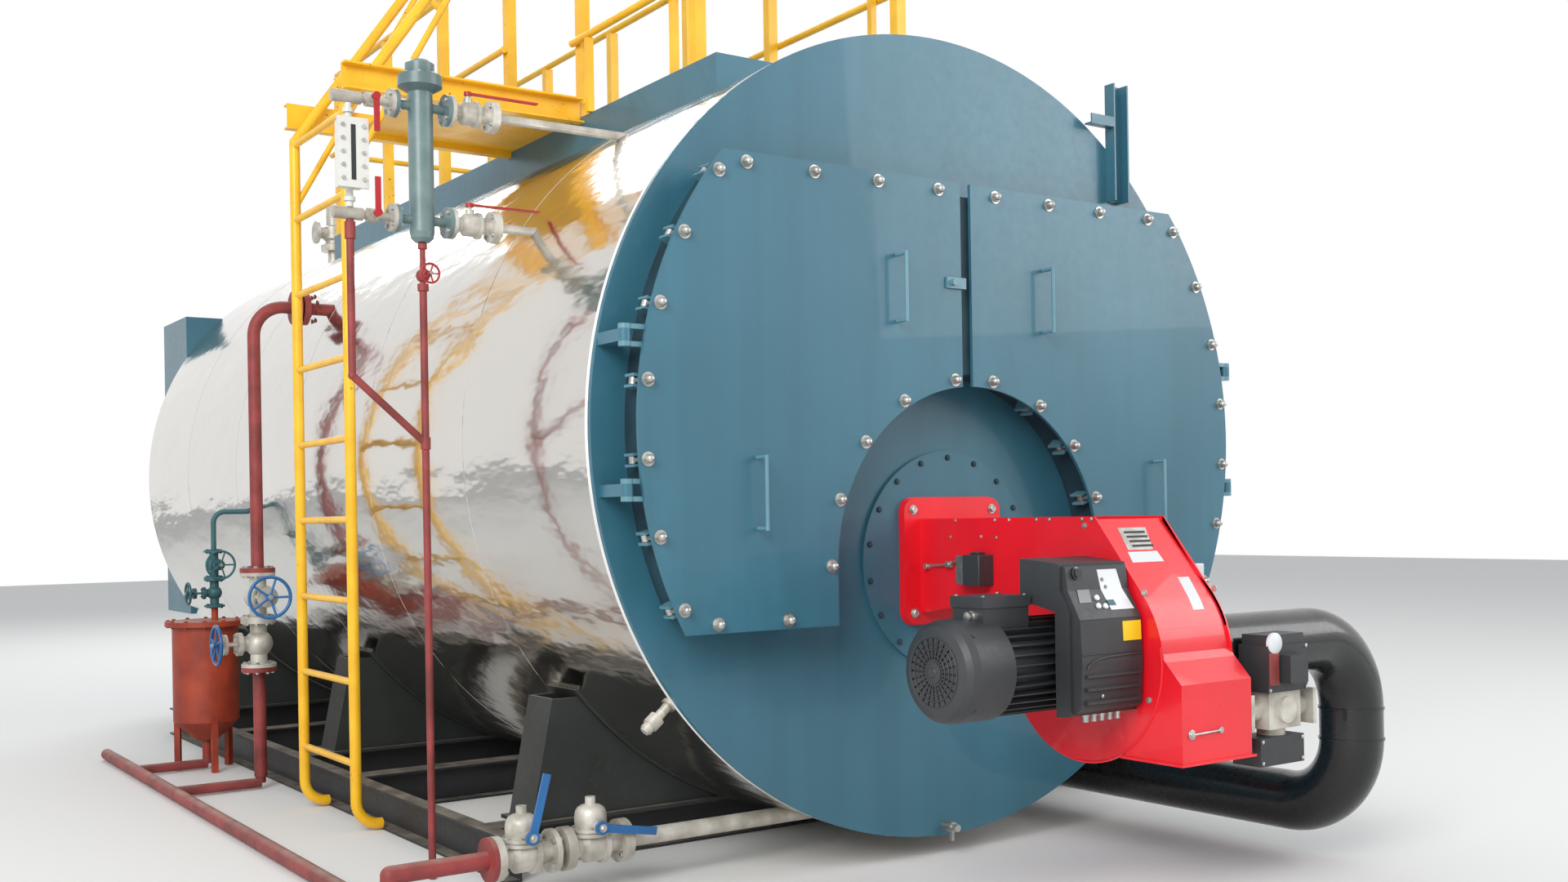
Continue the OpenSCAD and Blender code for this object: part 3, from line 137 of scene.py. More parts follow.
def paint(name, rgb, dark, roughness=0.4, bump=0.02, metallic=0.0, coat=0.0, scale=3.0,
          dust=0.0, chips=0.0, streaks=0.0):
    """Paint whose colour drifts between two tones, with a slightly uneven gloss and surface."""
    mat, shader, nodes, links = new_material(name, rgb, roughness, metallic)
    tex = noise(nodes, links, scale, 6)
    ramp = nodes.new("ShaderNodeValToRGB")
    ramp.color_ramp.elements[0].position = DARK_UP_TO
    ramp.color_ramp.elements[0].color = linear(dark)
    ramp.color_ramp.elements[1].position = FULL_FROM
    ramp.color_ramp.elements[1].color = linear(rgb)
    links.new(tex.outputs["Fac"], ramp.inputs["Fac"])
    colour = ramp.outputs["Color"]
    if streaks:
        grain = noise(nodes, links, 7.0, 4, (1.0, 1.0, 0.06)).outputs["Fac"]
        runs = ranged(nodes, links, grain, 0.42, 0.62, 0.0, streaks)
        colour = mix_colour(nodes, links, runs, colour, tuple(0.78 * v for v in dark))
    if chips:
        colour = chipped(nodes, links, colour, chips)
    if dust:
        colour = settled_dust(nodes, links, colour, dust)
    links.new(colour, shader.inputs["Base Color"])
    fine = noise(nodes, links, 40.0, 3)
    gloss = ranged(nodes, links, fine.outputs["Fac"], 0.0, 1.0, roughness - 0.08, roughness + 0.12)
    links.new(gloss, shader.inputs["Roughness"])
    if bump:
        relief = nodes.new("ShaderNodeBump")
        relief.inputs["Strength"].default_value = bump
        relief.inputs["Distance"].default_value = 0.01
        links.new(fine.outputs["Fac"], relief.inputs["Height"])
        links.new(relief.outputs["Normal"], shader.inputs["Normal"])
    shader.inputs["Coat Weight"].default_value = coat
    return mat


def bright_cladding():
    """Mirror-bright sheet with faint dents, stretched along the shell."""
    mat, shader, nodes, links = new_material("bright_cladding", (213, 210, 205), 0.13, 1.0)
    wide = noise(nodes, links, 1.3, 3, (1.0, 0.30, 1.0))
    small = noise(nodes, links, 6.0, 3, (1.0, 0.35, 1.0))
    add = nodes.new("ShaderNodeMath")
    add.operation = "MULTIPLY_ADD"
    add.inputs[1].default_value = 0.22
    links.new(small.outputs["Fac"], add.inputs[0])
    links.new(wide.outputs["Fac"], add.inputs[2])
    relief = nodes.new("ShaderNodeBump")
    relief.inputs["Strength"].default_value = 0.55
    relief.inputs["Distance"].default_value = 0.08
    links.new(add.outputs["Value"], relief.inputs["Height"])
    links.new(relief.outputs["Normal"], shader.inputs["Normal"])
    return mat


M = {
    "teal_paint": paint("teal_paint", (56, 110, 129), (50, 102, 120), 0.36, coat=0.2, scale=1.2,
                        dust=0.2, streaks=0.2),
    # Lighter than the doors' teal, partly a painted highlight on the handles
    "door_fittings": paint("door_fittings", (104, 148, 161), (84, 128, 142), 0.32, coat=0.2),
    "boiler_steel": paint("boiler_steel", (84, 80, 76), (52, 48, 46), 0.7, bump=0.2, chips=0.8),
    "valve_grey": paint("valve_grey", (210, 206, 196), (168, 162, 150), 0.42, bump=0.15,
                        metallic=0.3, scale=12),
    "burner_red": paint("burner_red", (236, 24, 40), (220, 18, 34), 0.3, bump=0.01, coat=0.3),
    "lever_red": paint("lever_red", (190, 34, 40), (160, 26, 30), 0.35, bump=0.05),
    "pipe_red": paint("pipe_red", (150, 62, 60), (112, 44, 40), 0.55, bump=0.15, scale=8,
                      dust=0.5, chips=0.6),
    "pot_orange": paint("pot_orange", (176, 68, 38), (140, 48, 28), 0.5, bump=0.12, scale=6,
                        dust=0.4, chips=0.5, streaks=0.3),
    "pot_valve_teal": paint("pot_valve_teal", (56, 106, 112), (40, 82, 88), 0.45, bump=0.08),
    "charcoal": paint("charcoal", (58, 60, 63), (44, 46, 48), 0.45, bump=0.06),
    "duct_black": paint("duct_black", (22, 23, 25), (15, 16, 17), 0.26, bump=0.0, coat=0.25,
                        dust=0.08),
    "gauge_white": paint("gauge_white", (226, 226, 220), (205, 204, 196), 0.4),
    "rail_yellow": paint("rail_yellow", (250, 196, 38), (238, 178, 24), 0.36, bump=0.06,
                         coat=0.1, scale=6, dust=0.2, chips=0.8),
    "skid_black": paint("skid_black", (36, 38, 40), (24, 25, 27), 0.5, bump=0.12, dust=0.6,
                        chips=0.5),
    "saddle_grey": paint("saddle_grey", (46, 50, 48), (32, 36, 34), 0.55, bump=0.1, dust=0.6,
                         chips=0.4),
    "lining": paint("lining", (70, 66, 62), (46, 43, 41), 0.9, bump=0.4, scale=10),
    "nut_steel": paint("nut_steel", (196, 196, 192), (168, 166, 160), 0.3, bump=0.03,
                       metallic=0.85, scale=30),
    "label_white": paint("label_white", (222, 226, 228), (212, 216, 218), 0.35),
    "label_yellow": paint("label_yellow", (250, 208, 30), (240, 196, 20), 0.4),
    "dark_screw": paint("dark_screw", (40, 40, 42), (30, 30, 32), 0.5),
    "dark_glass": paint("dark_glass", (22, 24, 28), (14, 15, 18), 0.12, coat=0.6),
    "wheel_blue": paint("wheel_blue", (32, 106, 168), (22, 86, 142), 0.35, bump=0.04, coat=0.2),
    "bright_cladding": bright_cladding(),
    # Flat white that is a painted highlight along the cladding's front edge
    "edge_highlight_white": paint("edge_highlight_white", (240, 240, 238), (226, 226, 224), 0.45, bump=0.0),
    "column_grey": paint("column_grey", (114, 135, 135), (90, 111, 112), 0.35, bump=0.05,
                         coat=0.1, scale=8),
    # Painted shade: a darker teal for the door frame's walls in the recess and in the gap behind
    # the doors
    "frame_painted_shade": paint("frame_painted_shade", (34, 66, 78), (22, 46, 56), 0.6, bump=0.1, scale=5),
    "tube_steel": paint("tube_steel", (142, 134, 124), (104, 94, 84), 0.55, bump=0.1,
                        metallic=0.3, scale=10),
    # Soot, and painted shade for the depth of the fire tubes
    "bore_soot_and_shade": paint("bore_soot_and_shade", (16, 15, 14), (9, 8, 8), 0.95, bump=0.1, scale=20),
}
# The CAD slot of each node
SLOT_OF = {s["node"]: s["material_slot"] for s in frame["record"]["subparts"]}
# Nodes whose paint differs from the rest of their slot: soiled, or of another batch, and on the
# door frame a darker teal that is painted shade
SHADE_OF = {"door_frame": "frame_painted_shade", "level_column": "column_grey",
            "tube_ends": "tube_steel"}
for node_name, node_object in frame["nodes"].items():
    look = M[SHADE_OF.get(node_name, SLOT_OF[node_name])]
    for index in range(len(node_object.data.materials)):
        node_object.data.materials[index] = look


# Mesh helpers: every shape is added to a bmesh, and each bmesh becomes one named piece

ON_AXIS = 1e-7
LEFT, RIGHT, FRONT, BACK, UP = (-1, 0, 0), (1, 0, 0), (0, -1, 0), (0, 1, 0), (0, 0, 1)


def towards(axis):
    """Turns +Z towards axis."""
    return Vector(UP).rotation_difference(Vector(axis).normalized()).to_matrix().to_4x4()


def lathe(bm, profile, place, axis=UP, segments=24):
    """Revolves (radius, height) points about axis, from place on.

    A profile that starts on the axis makes a solid, and one off the axis makes a hoop.
    """
    matrix = Matrix.Translation(place) @ towards(axis)
    rings = []
    for radius, height in profile:
        if radius < ON_AXIS:
            rings.append([bm.verts.new(matrix @ Vector((0, 0, height)))])
        else:
            ring = []
            for i in range(segments):
                a = math.tau * i / segments
                point = Vector((radius * math.cos(a), radius * math.sin(a), height))
                ring.append(bm.verts.new(matrix @ point))
            rings.append(ring)
    pairs = list(zip(rings, rings[1:]))
    if profile[0][0] > ON_AXIS:
        pairs.append((rings[-1], rings[0]))
    for low, high in pairs:
        for i in range(segments):
            j = (i + 1) % segments
            if len(low) == 1:
                bm.faces.new((low[0], high[j], high[i]))
            elif len(high) == 1:
                bm.faces.new((low[i], low[j], high[0]))
            else:
                bm.faces.new((low[i], low[j], high[j], high[i]))


def box(bm, centre, size):
    """A block of a size (x, y, z) about its centre."""
    matrix = Matrix.Translation(centre) @ Matrix.Diagonal((*size, 1))
    bmesh.ops.create_cube(bm, size=1.0, matrix=matrix)


def tube(bm, points, radius, sides, closed=False):
    """A round bar through points; closed joins its ends to a loop."""
    points = [Vector(p) for p in points]
    count = len(points)
    rings = []
    normal = None
    for i, p in enumerate(points):
        before = points[i - 1] if i or closed else p
        after = points[(i + 1) % count] if i < count - 1 or closed else p
        ahead = (after - before).normalized()
        if normal is None:
            normal = ahead.orthogonal().normalized()
        normal = (normal - ahead * normal.dot(ahead)).normalized()
        side = ahead.cross(normal)
        turns = [math.tau * k / sides for k in range(sides)]
        rings.append([bm.verts.new(p + radius * (normal * math.cos(a) + side * math.sin(a)))
                      for a in turns])
    pairs = list(zip(rings, rings[1:]))
    if closed:
        pairs.append((rings[-1], rings[0]))
    for low, high in pairs:
        for k in range(sides):
            j = (k + 1) % sides
            bm.faces.new((low[k], low[j], high[j], high[k]))
    if not closed:
        bm.faces.new(rings[0][::-1])
        bm.faces.new(rings[-1])


def piece(name, bm, material, body="root", bevel=0.0, smooth=40):
    """Turns bm into a piece that rides on body and wears the material of that name."""
    mesh = bpy.data.meshes.new(name)
    bmesh.ops.recalc_face_normals(bm, faces=bm.faces)
    bm.to_mesh(mesh)
    bm.free()
    obj = bpy.data.objects.new(name, mesh)
    SCENE.collection.objects.link(obj)
    mesh.materials.append(M[material])
    if bevel:
        mod = obj.modifiers.new("bevel", "BEVEL")
        mod.width = bevel
        mod.segments = 2
        mod.limit_method = "ANGLE"
    for polygon in mesh.polygons:
        polygon.use_smooth = True
    mesh.set_sharp_from_angle(angle=math.radians(smooth))
    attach(obj, body)


def dome_nut(bm, place, axis, r):
    """A cap nut on its washer."""
    lathe(bm, [(0, 0), (r * 1.35, 0), (r * 1.35, r * 0.18), (0, r * 0.18)], place, axis, 20)
    start = Vector(place) + Vector(axis).normalized() * r * 0.18
    lathe(bm, [(0, 0), (r, 0), (r, r * 0.75), (0, r * 0.75)], start, axis, 6)
    top = start + Vector(axis).normalized() * r * 0.75
    turns = [math.radians(d) for d in (0, 18, 36, 54, 72)]
    dome = [(r * 0.84 * math.cos(t), r * 0.84 * math.sin(t)) for t in turns]
    lathe(bm, [(0, 0)] + dome + [(0, r * 0.84)], top, axis, 16)


def hex_bolt(bm, place, axis, r):
    """A bevelled hexagon head, r from its middle to a corner, on its washer."""
    lathe(bm, [(0, 0), (r * 1.3, 0), (r * 1.3, r * 0.2), (0, r * 0.2)], place, axis, 16)
    start = Vector(place) + Vector(axis).normalized() * r * 0.2
    head = [(0, 0), (r, 0), (r, r * 0.6), (r * 0.86, r * 0.72), (0, r * 0.72)]
    lathe(bm, head, start, axis, 6)


def bolt_ring(bm, centre, axis, circle_r, count, r, start=0.0, depth=None):
    """Hex bolts on a circle about axis; with depth, nuts on the far side too."""
    turn = towards(axis)
    for i in range(count):
        a = start + math.tau * i / count
        out = turn @ Vector((circle_r * math.cos(a), circle_r * math.sin(a), 0))
        hex_bolt(bm, Vector(centre) + out, axis, r)
        if depth:
            behind = Vector(centre) + out - Vector(axis).normalized() * depth
            hex_bolt(bm, behind, -Vector(axis), r)


# Doors: cap nuts, swing bolts, lining studs and the tubes' bores behind them

DOOR_FACE_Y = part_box("left_door")[0].y
DOOR_BACK_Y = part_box("left_door")[1].y
PLATE_FACE_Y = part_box("door_frame")[1].y
AXIS_Z = (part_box("front_plate")[0].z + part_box("front_plate")[1].z) / 2
BURNER_Z = (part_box("burner_plate")[0].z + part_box("burner_plate")[1].z) / 2
NUT_R = 0.0175
NUT_CIRCLE_R = 1.391
LUG_PIN_R = 1.399
LUG_PIN_Y = -0.981
RIM_ANGLES = (37.5, 27, 16.6, 6.2, -4.2, -14.6, -25)
CUT_NUT_R = 0.668
CUT_ANGLES = (0, 20, 40, 60, 82)
CUT_LUG_ANGLES = (20, 40, 60)
CUT_PIN_R = 0.669
TOP_NUT_Z = 2.465
TOP_NUT_X = [-0.994 + 0.278 * i for i in range(8)]
LOW_NUT_Z = 0.940
LOW_NUT_X = (0.853, 1.133)
NUT_FOOT = 0.0055
STUD_PLACES = ((0.35, 2.0), (0.75, 2.1), (0.35, 2.3), (0.75, 1.75), (1.0, 1.95), (1.0, 1.5),
               (0.95, 1.2))


def round_point(radius, degrees, side, y, height):
    """A point on a circle about a height on the boiler's middle plane."""
    a = math.radians(degrees)
    return Vector((side * radius * math.cos(a), y, height + radius * math.sin(a)))


def door_nuts(side):
    """The cap nuts along the edges of one door."""
    bm = bmesh.new()
    for a in RIM_ANGLES:
        dome_nut(bm, round_point(NUT_CIRCLE_R, a, side, DOOR_FACE_Y, AXIS_Z), FRONT, NUT_R)
    for a in CUT_ANGLES:
        dome_nut(bm, round_point(CUT_NUT_R, a, side, DOOR_FACE_Y, BURNER_Z), FRONT, NUT_R)
    for x in TOP_NUT_X:
        if x * side > 0:
            dome_nut(bm, (x, DOOR_FACE_Y, TOP_NUT_Z), FRONT, NUT_R)
    for x in LOW_NUT_X:
        dome_nut(bm, (side * x, DOOR_FACE_Y, LOW_NUT_Z), FRONT, NUT_R)
    body = "left_door" if side < 0 else "right_door"
    piece(body + "_nuts", bm, "nut_steel", body)


def swing_bolts():
    """The shanks behind the doors, with an eye round each lug's pin."""
    bm = bmesh.new()
    length = LUG_PIN_Y - (DOOR_BACK_Y + NUT_FOOT)
    shank = [(0, 0), (0.009, 0), (0.009, length), (0, length)]
    eye = [(0, 0), (0.016, 0), (0.016, 0.022), (0, 0.022)]
    for side in (-1, 1):
        places = [(LUG_PIN_R, a, AXIS_Z) for a in RIM_ANGLES]
        places += [(CUT_PIN_R, a, BURNER_Z) for a in CUT_LUG_ANGLES]
        for radius, a, height in places:
            pin = round_point(radius, a, side, LUG_PIN_Y, height)
            lathe(bm, shank, pin, FRONT, 12)
            across = Vector((-math.sin(math.radians(a)) * side, 0, math.cos(math.radians(a))))
            lathe(bm, eye, pin - across * 0.011, across, 16)
    piece("swing_bolts", bm, "nut_steel")


def lining_studs():
    """Anchor studs on the back of the doors' linings."""
    stud = [(0, 0), (0.022, 0), (0.018, 0.006), (0, 0.007)]
    for side, body in ((-1, "left_door"), (1, "right_door")):
        bm = bmesh.new()
        back_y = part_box(body + "_lining")[1].y
        for x, z in STUD_PLACES:
            lathe(bm, stud, (side * x, back_y, z), BACK, 16)
        piece(body + "_lining_studs", bm, "boiler_steel", body)


TUBE_PITCH = 0.112
TUBE_R = 0.038
TUBE_BORE_R = 0.0338
# Kept free of tubes round the furnace: its mouth, its wall and one tube
FURNACE_CLEAR_R = 0.400 + 0.060 + 2 * TUBE_R


def tube_bores():
    """The bores of the fire tubes as dark discs on the same grid as their ends: soot, and painted
    shade for the tubes' depth.
    """
    plate_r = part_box("tube_plate")[1].x
    face_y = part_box("tube_ends")[1].y
    count = math.floor(2 * plate_r / TUBE_PITCH)
    disc = [(0, 0), (TUBE_BORE_R, 0), (TUBE_BORE_R, 0.0015), (0, 0.0015)]
    bm = bmesh.new()
    for i in range(count + 1):
        for j in range(count + 1):
            x, z = (i - count / 2) * TUBE_PITCH, (j - count / 2) * TUBE_PITCH
            inside = math.hypot(x, z) < plate_r - 2 * TUBE_R
            clear = math.hypot(x, z + AXIS_Z - BURNER_Z) > FURNACE_CLEAR_R
            if inside and clear and z > BURNER_Z - AXIS_Z - TUBE_PITCH:
                lathe(bm, disc, (x, face_y, AXIS_Z + z), FRONT, 16)
    piece("tube_bores", bm, "bore_soot_and_shade")


tube_bores()
for door_side in (-1, 1):
    door_nuts(door_side)
swing_bolts()
lining_studs()


# Front plate: bolts of the burner plate and flange, rim trim and drain

PLATE_BOLT_CIRCLE_R, PLATE_BOLTS = 0.385, 18
FLANGE_BOLT_X, FLANGE_BOLT_Z = 0.195, 0.19
BANDS = 5


def front_plate_bolts():
    """Bolts of the round burner plate and of the burner's square flange."""
    bm = bmesh.new()
    centre = (0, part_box("burner_plate")[0].y, BURNER_Z)
    bolt_ring(bm, centre, FRONT, PLATE_BOLT_CIRCLE_R, PLATE_BOLTS, 0.009, math.radians(10))
    # These bolts wear the same darker teal of painted shade
    piece("burner_plate_bolts", bm, "frame_painted_shade")
    bm = bmesh.new()
    face_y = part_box("burner_flange")[0].y
    for sx in (-1, 1):
        for sz in (-1, 1):
            place = (sx * FLANGE_BOLT_X, face_y, BURNER_Z + sz * FLANGE_BOLT_Z)
            hex_bolt(bm, place, FRONT, 0.014)
    piece("burner_flange_bolts", bm, "nut_steel")


def rim_trim():
    """The folded edge of the cladding behind the front plate, in flat white as a painted
    highlight, and its lap bands.
    """
    start, end = (corner.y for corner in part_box("cladding"))
    shell_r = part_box("cladding")[1].x
    edge = [(shell_r - 0.001, 0), (shell_r + 0.008, 0.001), (shell_r + 0.0092, 0.020),
            (shell_r + 0.001, 0.027)]
    bm = bmesh.new()
    lathe(bm, edge, (0, start + 0.001, AXIS_Z), BACK, 180)
    piece("cladding_edge", bm, "edge_highlight_white", smooth=30)
    band = [(shell_r - 0.001, 0), (shell_r + 0.0010, 0.002), (shell_r + 0.0010, 0.038),
            (shell_r - 0.001, 0.04)]
    bm = bmesh.new()
    for i in range(1, BANDS + 1):
        y = start + (end - start) * i / (BANDS + 1)
        lathe(bm, band, (0, y, AXIS_Z), BACK, 180)
    piece("cladding_bands", bm, "bright_cladding", smooth=30)


def plate_drain():
    """The small drain cock at the foot of the front plate, with its key."""
    cock = [(0, 0), (0.02, 0), (0.02, 0.05), (0.014, 0.05), (0.014, 0.075), (0, 0.075)]
    place = Vector((-0.03, PLATE_FACE_Y, 0.115))
    bm = bmesh.new()
    lathe(bm, cock, place, FRONT, 16)
    box(bm, place + Vector((0, -0.04, -0.028)), (0.012, 0.012, 0.045))
    piece("plate_drain_cock", bm, "nut_steel")


front_plate_bolts()
rim_trim()
plate_drain()


# Pipe flanges: a ring of bolts for each joint

COLUMN_X = -1.70
FEED_X, FEED_Y = -1.65, 2.31
POT_X, POT_STUB_X, POT_Y = -1.70, -1.65, 3.11
BLOW_Y, BLOW_Z = -0.54, 0.165
BLOW_LEVER_X = (("blowdown_lever_outer", -1.600), ("blowdown_lever_inner", -1.340))
BLOW_PIVOT_Z = BLOW_Z + 0.070


def flange_bolts(name, joints, bolt_r, material="nut_steel"):
    """Bolts of joints: (centre of the outer face, axis, bolt-circle radius, count, thickness)."""
    bm = bmesh.new()
    for centre, axis, circle_r, count, thickness in joints:
        bolt_ring(bm, centre, axis, circle_r, count, bolt_r, math.pi / count, thickness)
    piece(name, bm, material)


for branch, level in (("low", 2.38), ("top", 2.79)):
    flange_bolts("gauge_bolts_" + branch, [
        (Vector((COLUMN_X + 0.119, 0, level)), RIGHT, 0.046, 4, 0.030),
        (Vector((COLUMN_X + 0.291, 0, level)), RIGHT, 0.046, 4, 0.030),
        (Vector((COLUMN_X - 0.119, 0, level)), LEFT, 0.039, 4, 0.028)], 0.008)
flange_bolts("feed_flange_bolts", [
    (Vector((FEED_X, FEED_Y, 1.078)), UP, 0.064, 8, 0.039),
    (Vector((FEED_X, FEED_Y, 0.8414)), UP, 0.064, 8, 0.0328),
    (Vector((FEED_X, FEED_Y, 0.6114)), UP, 0.064, 8, 0.0394)], 0.010)
flange_bolts("feed_nozzle_bolts", [
    (Vector((-1.4266, FEED_Y, 2.36)), LEFT, 0.064, 8, 0.070)], 0.010, "pipe_red")
flange_bolts("pot_valve_bolts", [
    (Vector((POT_STUB_X, POT_Y, 1.155)), UP, 0.040, 4, 0.0104),
    (Vector((POT_STUB_X, POT_Y, 1.0154)), UP, 0.040, 4, 0.0208),
    (Vector((POT_STUB_X, POT_Y, 0.8654)), UP, 0.040, 4, 0.0104)], 0.007, "pot_valve_teal")
flange_bolts("pot_lid_bolts", [
    (Vector((POT_X, POT_Y, 0.786)), UP, 0.183, 12, 0.026)], 0.009, "pot_orange")
flange_bolts("blowdown_bolts", [
    (Vector((-1.710, BLOW_Y, BLOW_Z)), LEFT, 0.059, 4, 0.030),
    (Vector((-1.482, BLOW_Y, BLOW_Z)), RIGHT, 0.059, 4, 0.018),
    (Vector((-1.204, BLOW_Y, BLOW_Z)), RIGHT, 0.059, 4, 0.036)], 0.010)


def blowdown_bonnets():
    """Split flange, round head and boss on each blowdown valve, and the nut on its lever."""
    split_flange = [(0, 0), (0.068, 0), (0.068, 0.011), (0.061, 0.012), (0.061, 0.016),
                    (0.068, 0.017), (0.068, 0.028), (0, 0.028)]
    head = [(0, 0), (0.052, 0), (0.0555, 0.016), (0.0565, 0.034), (0.0550, 0.050),
            (0.052, 0.062), (0.045, 0.072), (0.034, 0.079), (0.018, 0.083), (0.018, 0.108),
            (0, 0.108)]
    bm = bmesh.new()
    bolts = bmesh.new()
    for lever, x in BLOW_LEVER_X:
        lathe(bm, split_flange, (x, BLOW_Y, BLOW_Z + 0.034), UP, 40)
        lathe(bm, head, (x, BLOW_Y, BLOW_Z + 0.058), UP, 40)
        bolt_ring(bolts, (x, BLOW_Y, BLOW_Z + 0.062), UP, 0.0610, 8, 0.0045, math.pi / 8)
        nut = bmesh.new()
        hex_bolt(nut, (x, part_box(lever)[0].y, BLOW_PIVOT_Z), FRONT, 0.011)
        piece(lever + "_nut", nut, "nut_steel", lever)
    piece("blowdown_bonnets", bm, "valve_grey")
    piece("blowdown_bonnet_bolts", bolts, "nut_steel")


def globe_bonnets():
    """Bolts round the bonnets of the upright valves, each valve turned its own way."""
    for name, x, y, valves, r, count, bolt_r, start, material in (
            ("feed_bonnet_bolts", FEED_X, FEED_Y, ((0.94, FRONT), (0.71, LEFT)), 0.066, 6, 0.007,
             math.radians(30), "nut_steel"),
            ("pot_bonnet_bolts", POT_STUB_X, POT_Y, ((1.08, FRONT), (0.93, LEFT)), 0.038, 4, 0.005,
             math.radians(45), "pot_valve_teal")):
        bm = bmesh.new()
        for z, axis in valves:
            centre = Vector((x, y, z)) + Vector(axis) * r * 1.6
            bolt_ring(bm, centre, axis, r * 0.7, count, bolt_r, start)
        piece(name, bm, material)


def wheel_nut(name, node, axis, r):
    """The nut in the middle of a handwheel, on its face towards axis."""
    low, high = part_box(node)
    face = (low + high) / 2
    for i in range(3):
        if axis[i] < 0:
            face[i] = low[i]
        elif axis[i] > 0:
            face[i] = high[i]
    bm = bmesh.new()
    hex_bolt(bm, face, axis, r)
    piece(name, bm, "nut_steel", node)


blowdown_bonnets()
globe_bonnets()
wheel_nut("feed_wheel_front_nut", "feed_handwheel_front", FRONT, 0.010)
wheel_nut("feed_wheel_side_nut", "feed_handwheel_side", LEFT, 0.010)
wheel_nut("drain_wheel_nut", "drain_handwheel", FRONT, 0.005)
wheel_nut("pot_wheel_front_nut", "pot_handwheel_front", FRONT, 0.007)
wheel_nut("pot_wheel_side_nut", "pot_handwheel_side", LEFT, 0.007)


# Level gauge: screws and glass

GAUGE_Z = (2.4623, 2.7077)
SCREW_ROWS, SCREW_MARGIN = 5, 0.03


def gauge_dress():
    """Two rows of screws beside the dark glass."""
    low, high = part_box("level_gauge")
    plate_low, plate_high = GAUGE_Z
    centre_x = (low.x + high.x) / 2
    head = [(0, 0), (0.0075, 0), (0.0075, 0.006), (0, 0.006)]
    bm = bmesh.new()
    for i in range(SCREW_ROWS):
        rise = (plate_high - plate_low - 2 * SCREW_MARGIN) * i / (SCREW_ROWS - 1)
        for s in (-1, 1):
            place = (centre_x + s * 0.037, low.y, plate_low + SCREW_MARGIN + rise)
            lathe(bm, head, place, FRONT, 6)
    piece("gauge_screws", bm, "nut_steel")
    bm = bmesh.new()
    middle = (centre_x, low.y, (plate_low + plate_high) / 2)
    box(bm, middle, (0.017, 0.002, plate_high - plate_low - 0.052))
    piece("gauge_glass", bm, "dark_glass")


gauge_dress()


# Burner: screws, grill, panel and blank plates

FAN_Y, FAN_Z = -1.74, 0.81
HOUSING_X = 0.165
TOP_SCREW_Z = 1.264
SCREW = [(0, 0), (0.006, 0), (0.006, 0.003), (0.003, 0.005), (0, 0.005)]
TOP_SCREW_Y = (-1.131, -1.336, -1.407, -1.540, -1.601, -1.749, -1.790)
FACE_SCREWS = ((-1.102, 1.205), (-1.265, 1.206), (-1.343, 1.203), (-1.170, 1.055))
FACE_NUTS = ((-1.760, 1.243), (-2.008, 1.033), (-2.020, 0.700))


def housing_screws():
    """Screws and nuts on both sides of the burner housing."""
    bm = bmesh.new()
    for side in (-1, 1):
        x, axis = side * HOUSING_X, (side, 0, 0)
        for y in TOP_SCREW_Y:
            lathe(bm, SCREW, (x, y, TOP_SCREW_Z), axis, 12)
        for y, z in FACE_SCREWS:
            lathe(bm, SCREW, (x, y, z), axis, 12)
        for y, z in FACE_NUTS:
            hex_bolt(bm, (x, y, z), axis, 0.008)
    piece("housing_screws", bm, "nut_steel")


def air_linkage():
    """The damper's drive on the housing's side, its rod and the small damper lever in front."""
    x = -HOUSING_X
    bm = bmesh.new()
    box(bm, (x - 0.034, -1.283, 1.090), (0.070, 0.086, 0.108))
    box(bm, (x - 0.020, -1.266, 1.148), (0.036, 0.040, 0.010))
    piece("damper_drive", bm, "charcoal", bevel=0.004)
    bm = bmesh.new()
    box(bm, (x - 0.031, -1.218, 1.090), (0.060, 0.042, 0.100))
    rod = [(x - 0.010, -0.985, 1.098), (x - 0.012, -1.090, 1.106), (x - 0.014, -1.196, 1.130)]
    tube(bm, rod, 0.005, 10)
    lathe(bm, [(0, 0), (0.011, 0), (0.011, 0.024), (0, 0.024)], (x, -0.985, 1.098), LEFT, 16)
    box(bm, (x - 0.011, -1.107, 1.107), (0.016, 0.032, 0.022))
    pin = [(0, 0), (0.008, 0), (0.008, 0.022), (0, 0.022)]
    lathe(bm, pin, (x - 0.002, -1.107, 1.107), LEFT, 12)
    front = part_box("burner_housing")[0].y + 0.010
    knob = [(0, 0), (0.016, 0), (0.016, 0.004), (0.009, 0.005), (0.009, 0.008), (0, 0.008)]
    lathe(bm, knob, (-0.122, front, 0.602), FRONT, 20)
    tube(bm, [(-0.122, front - 0.006, 0.602), (0.011, front - 0.006, 0.605)], 0.0035, 8)
    lathe(bm, [(0, 0), (0.010, 0), (0.010, 0.008), (0, 0.008)], (0.011, front, 0.605), FRONT, 16)
    piece("damper_linkage", bm, "nut_steel", bevel=0.001)


def sheet(bm, rows, lift=0.002):
    """A plate through rows of ((low x, high x), (y, z)), from lift before to lift behind them."""
    front, back = [], []
    for (x0, x1), (y, z) in rows:
        front.append([bm.verts.new((x, y - lift, z)) for x in (x0, x1)])
        back.append([bm.verts.new((x, y + lift, z)) for x in (x0, x1)])
    for i in range(len(rows) - 1):
        bm.faces.new((front[i][0], front[i][1], front[i + 1][1], front[i + 1][0]))
        bm.faces.new((back[i][0], back[i + 1][0], back[i + 1][1], back[i][1]))
        bm.faces.new((front[i][0], front[i + 1][0], back[i + 1][0], back[i][0]))
        bm.faces.new((front[i][1], back[i][1], back[i + 1][1], front[i + 1][1]))
    bm.faces.new((front[0][0], back[0][0], back[0][1], front[0][1]))
    bm.faces.new((front[-1][0], front[-1][1], back[-1][1], back[-1][0]))


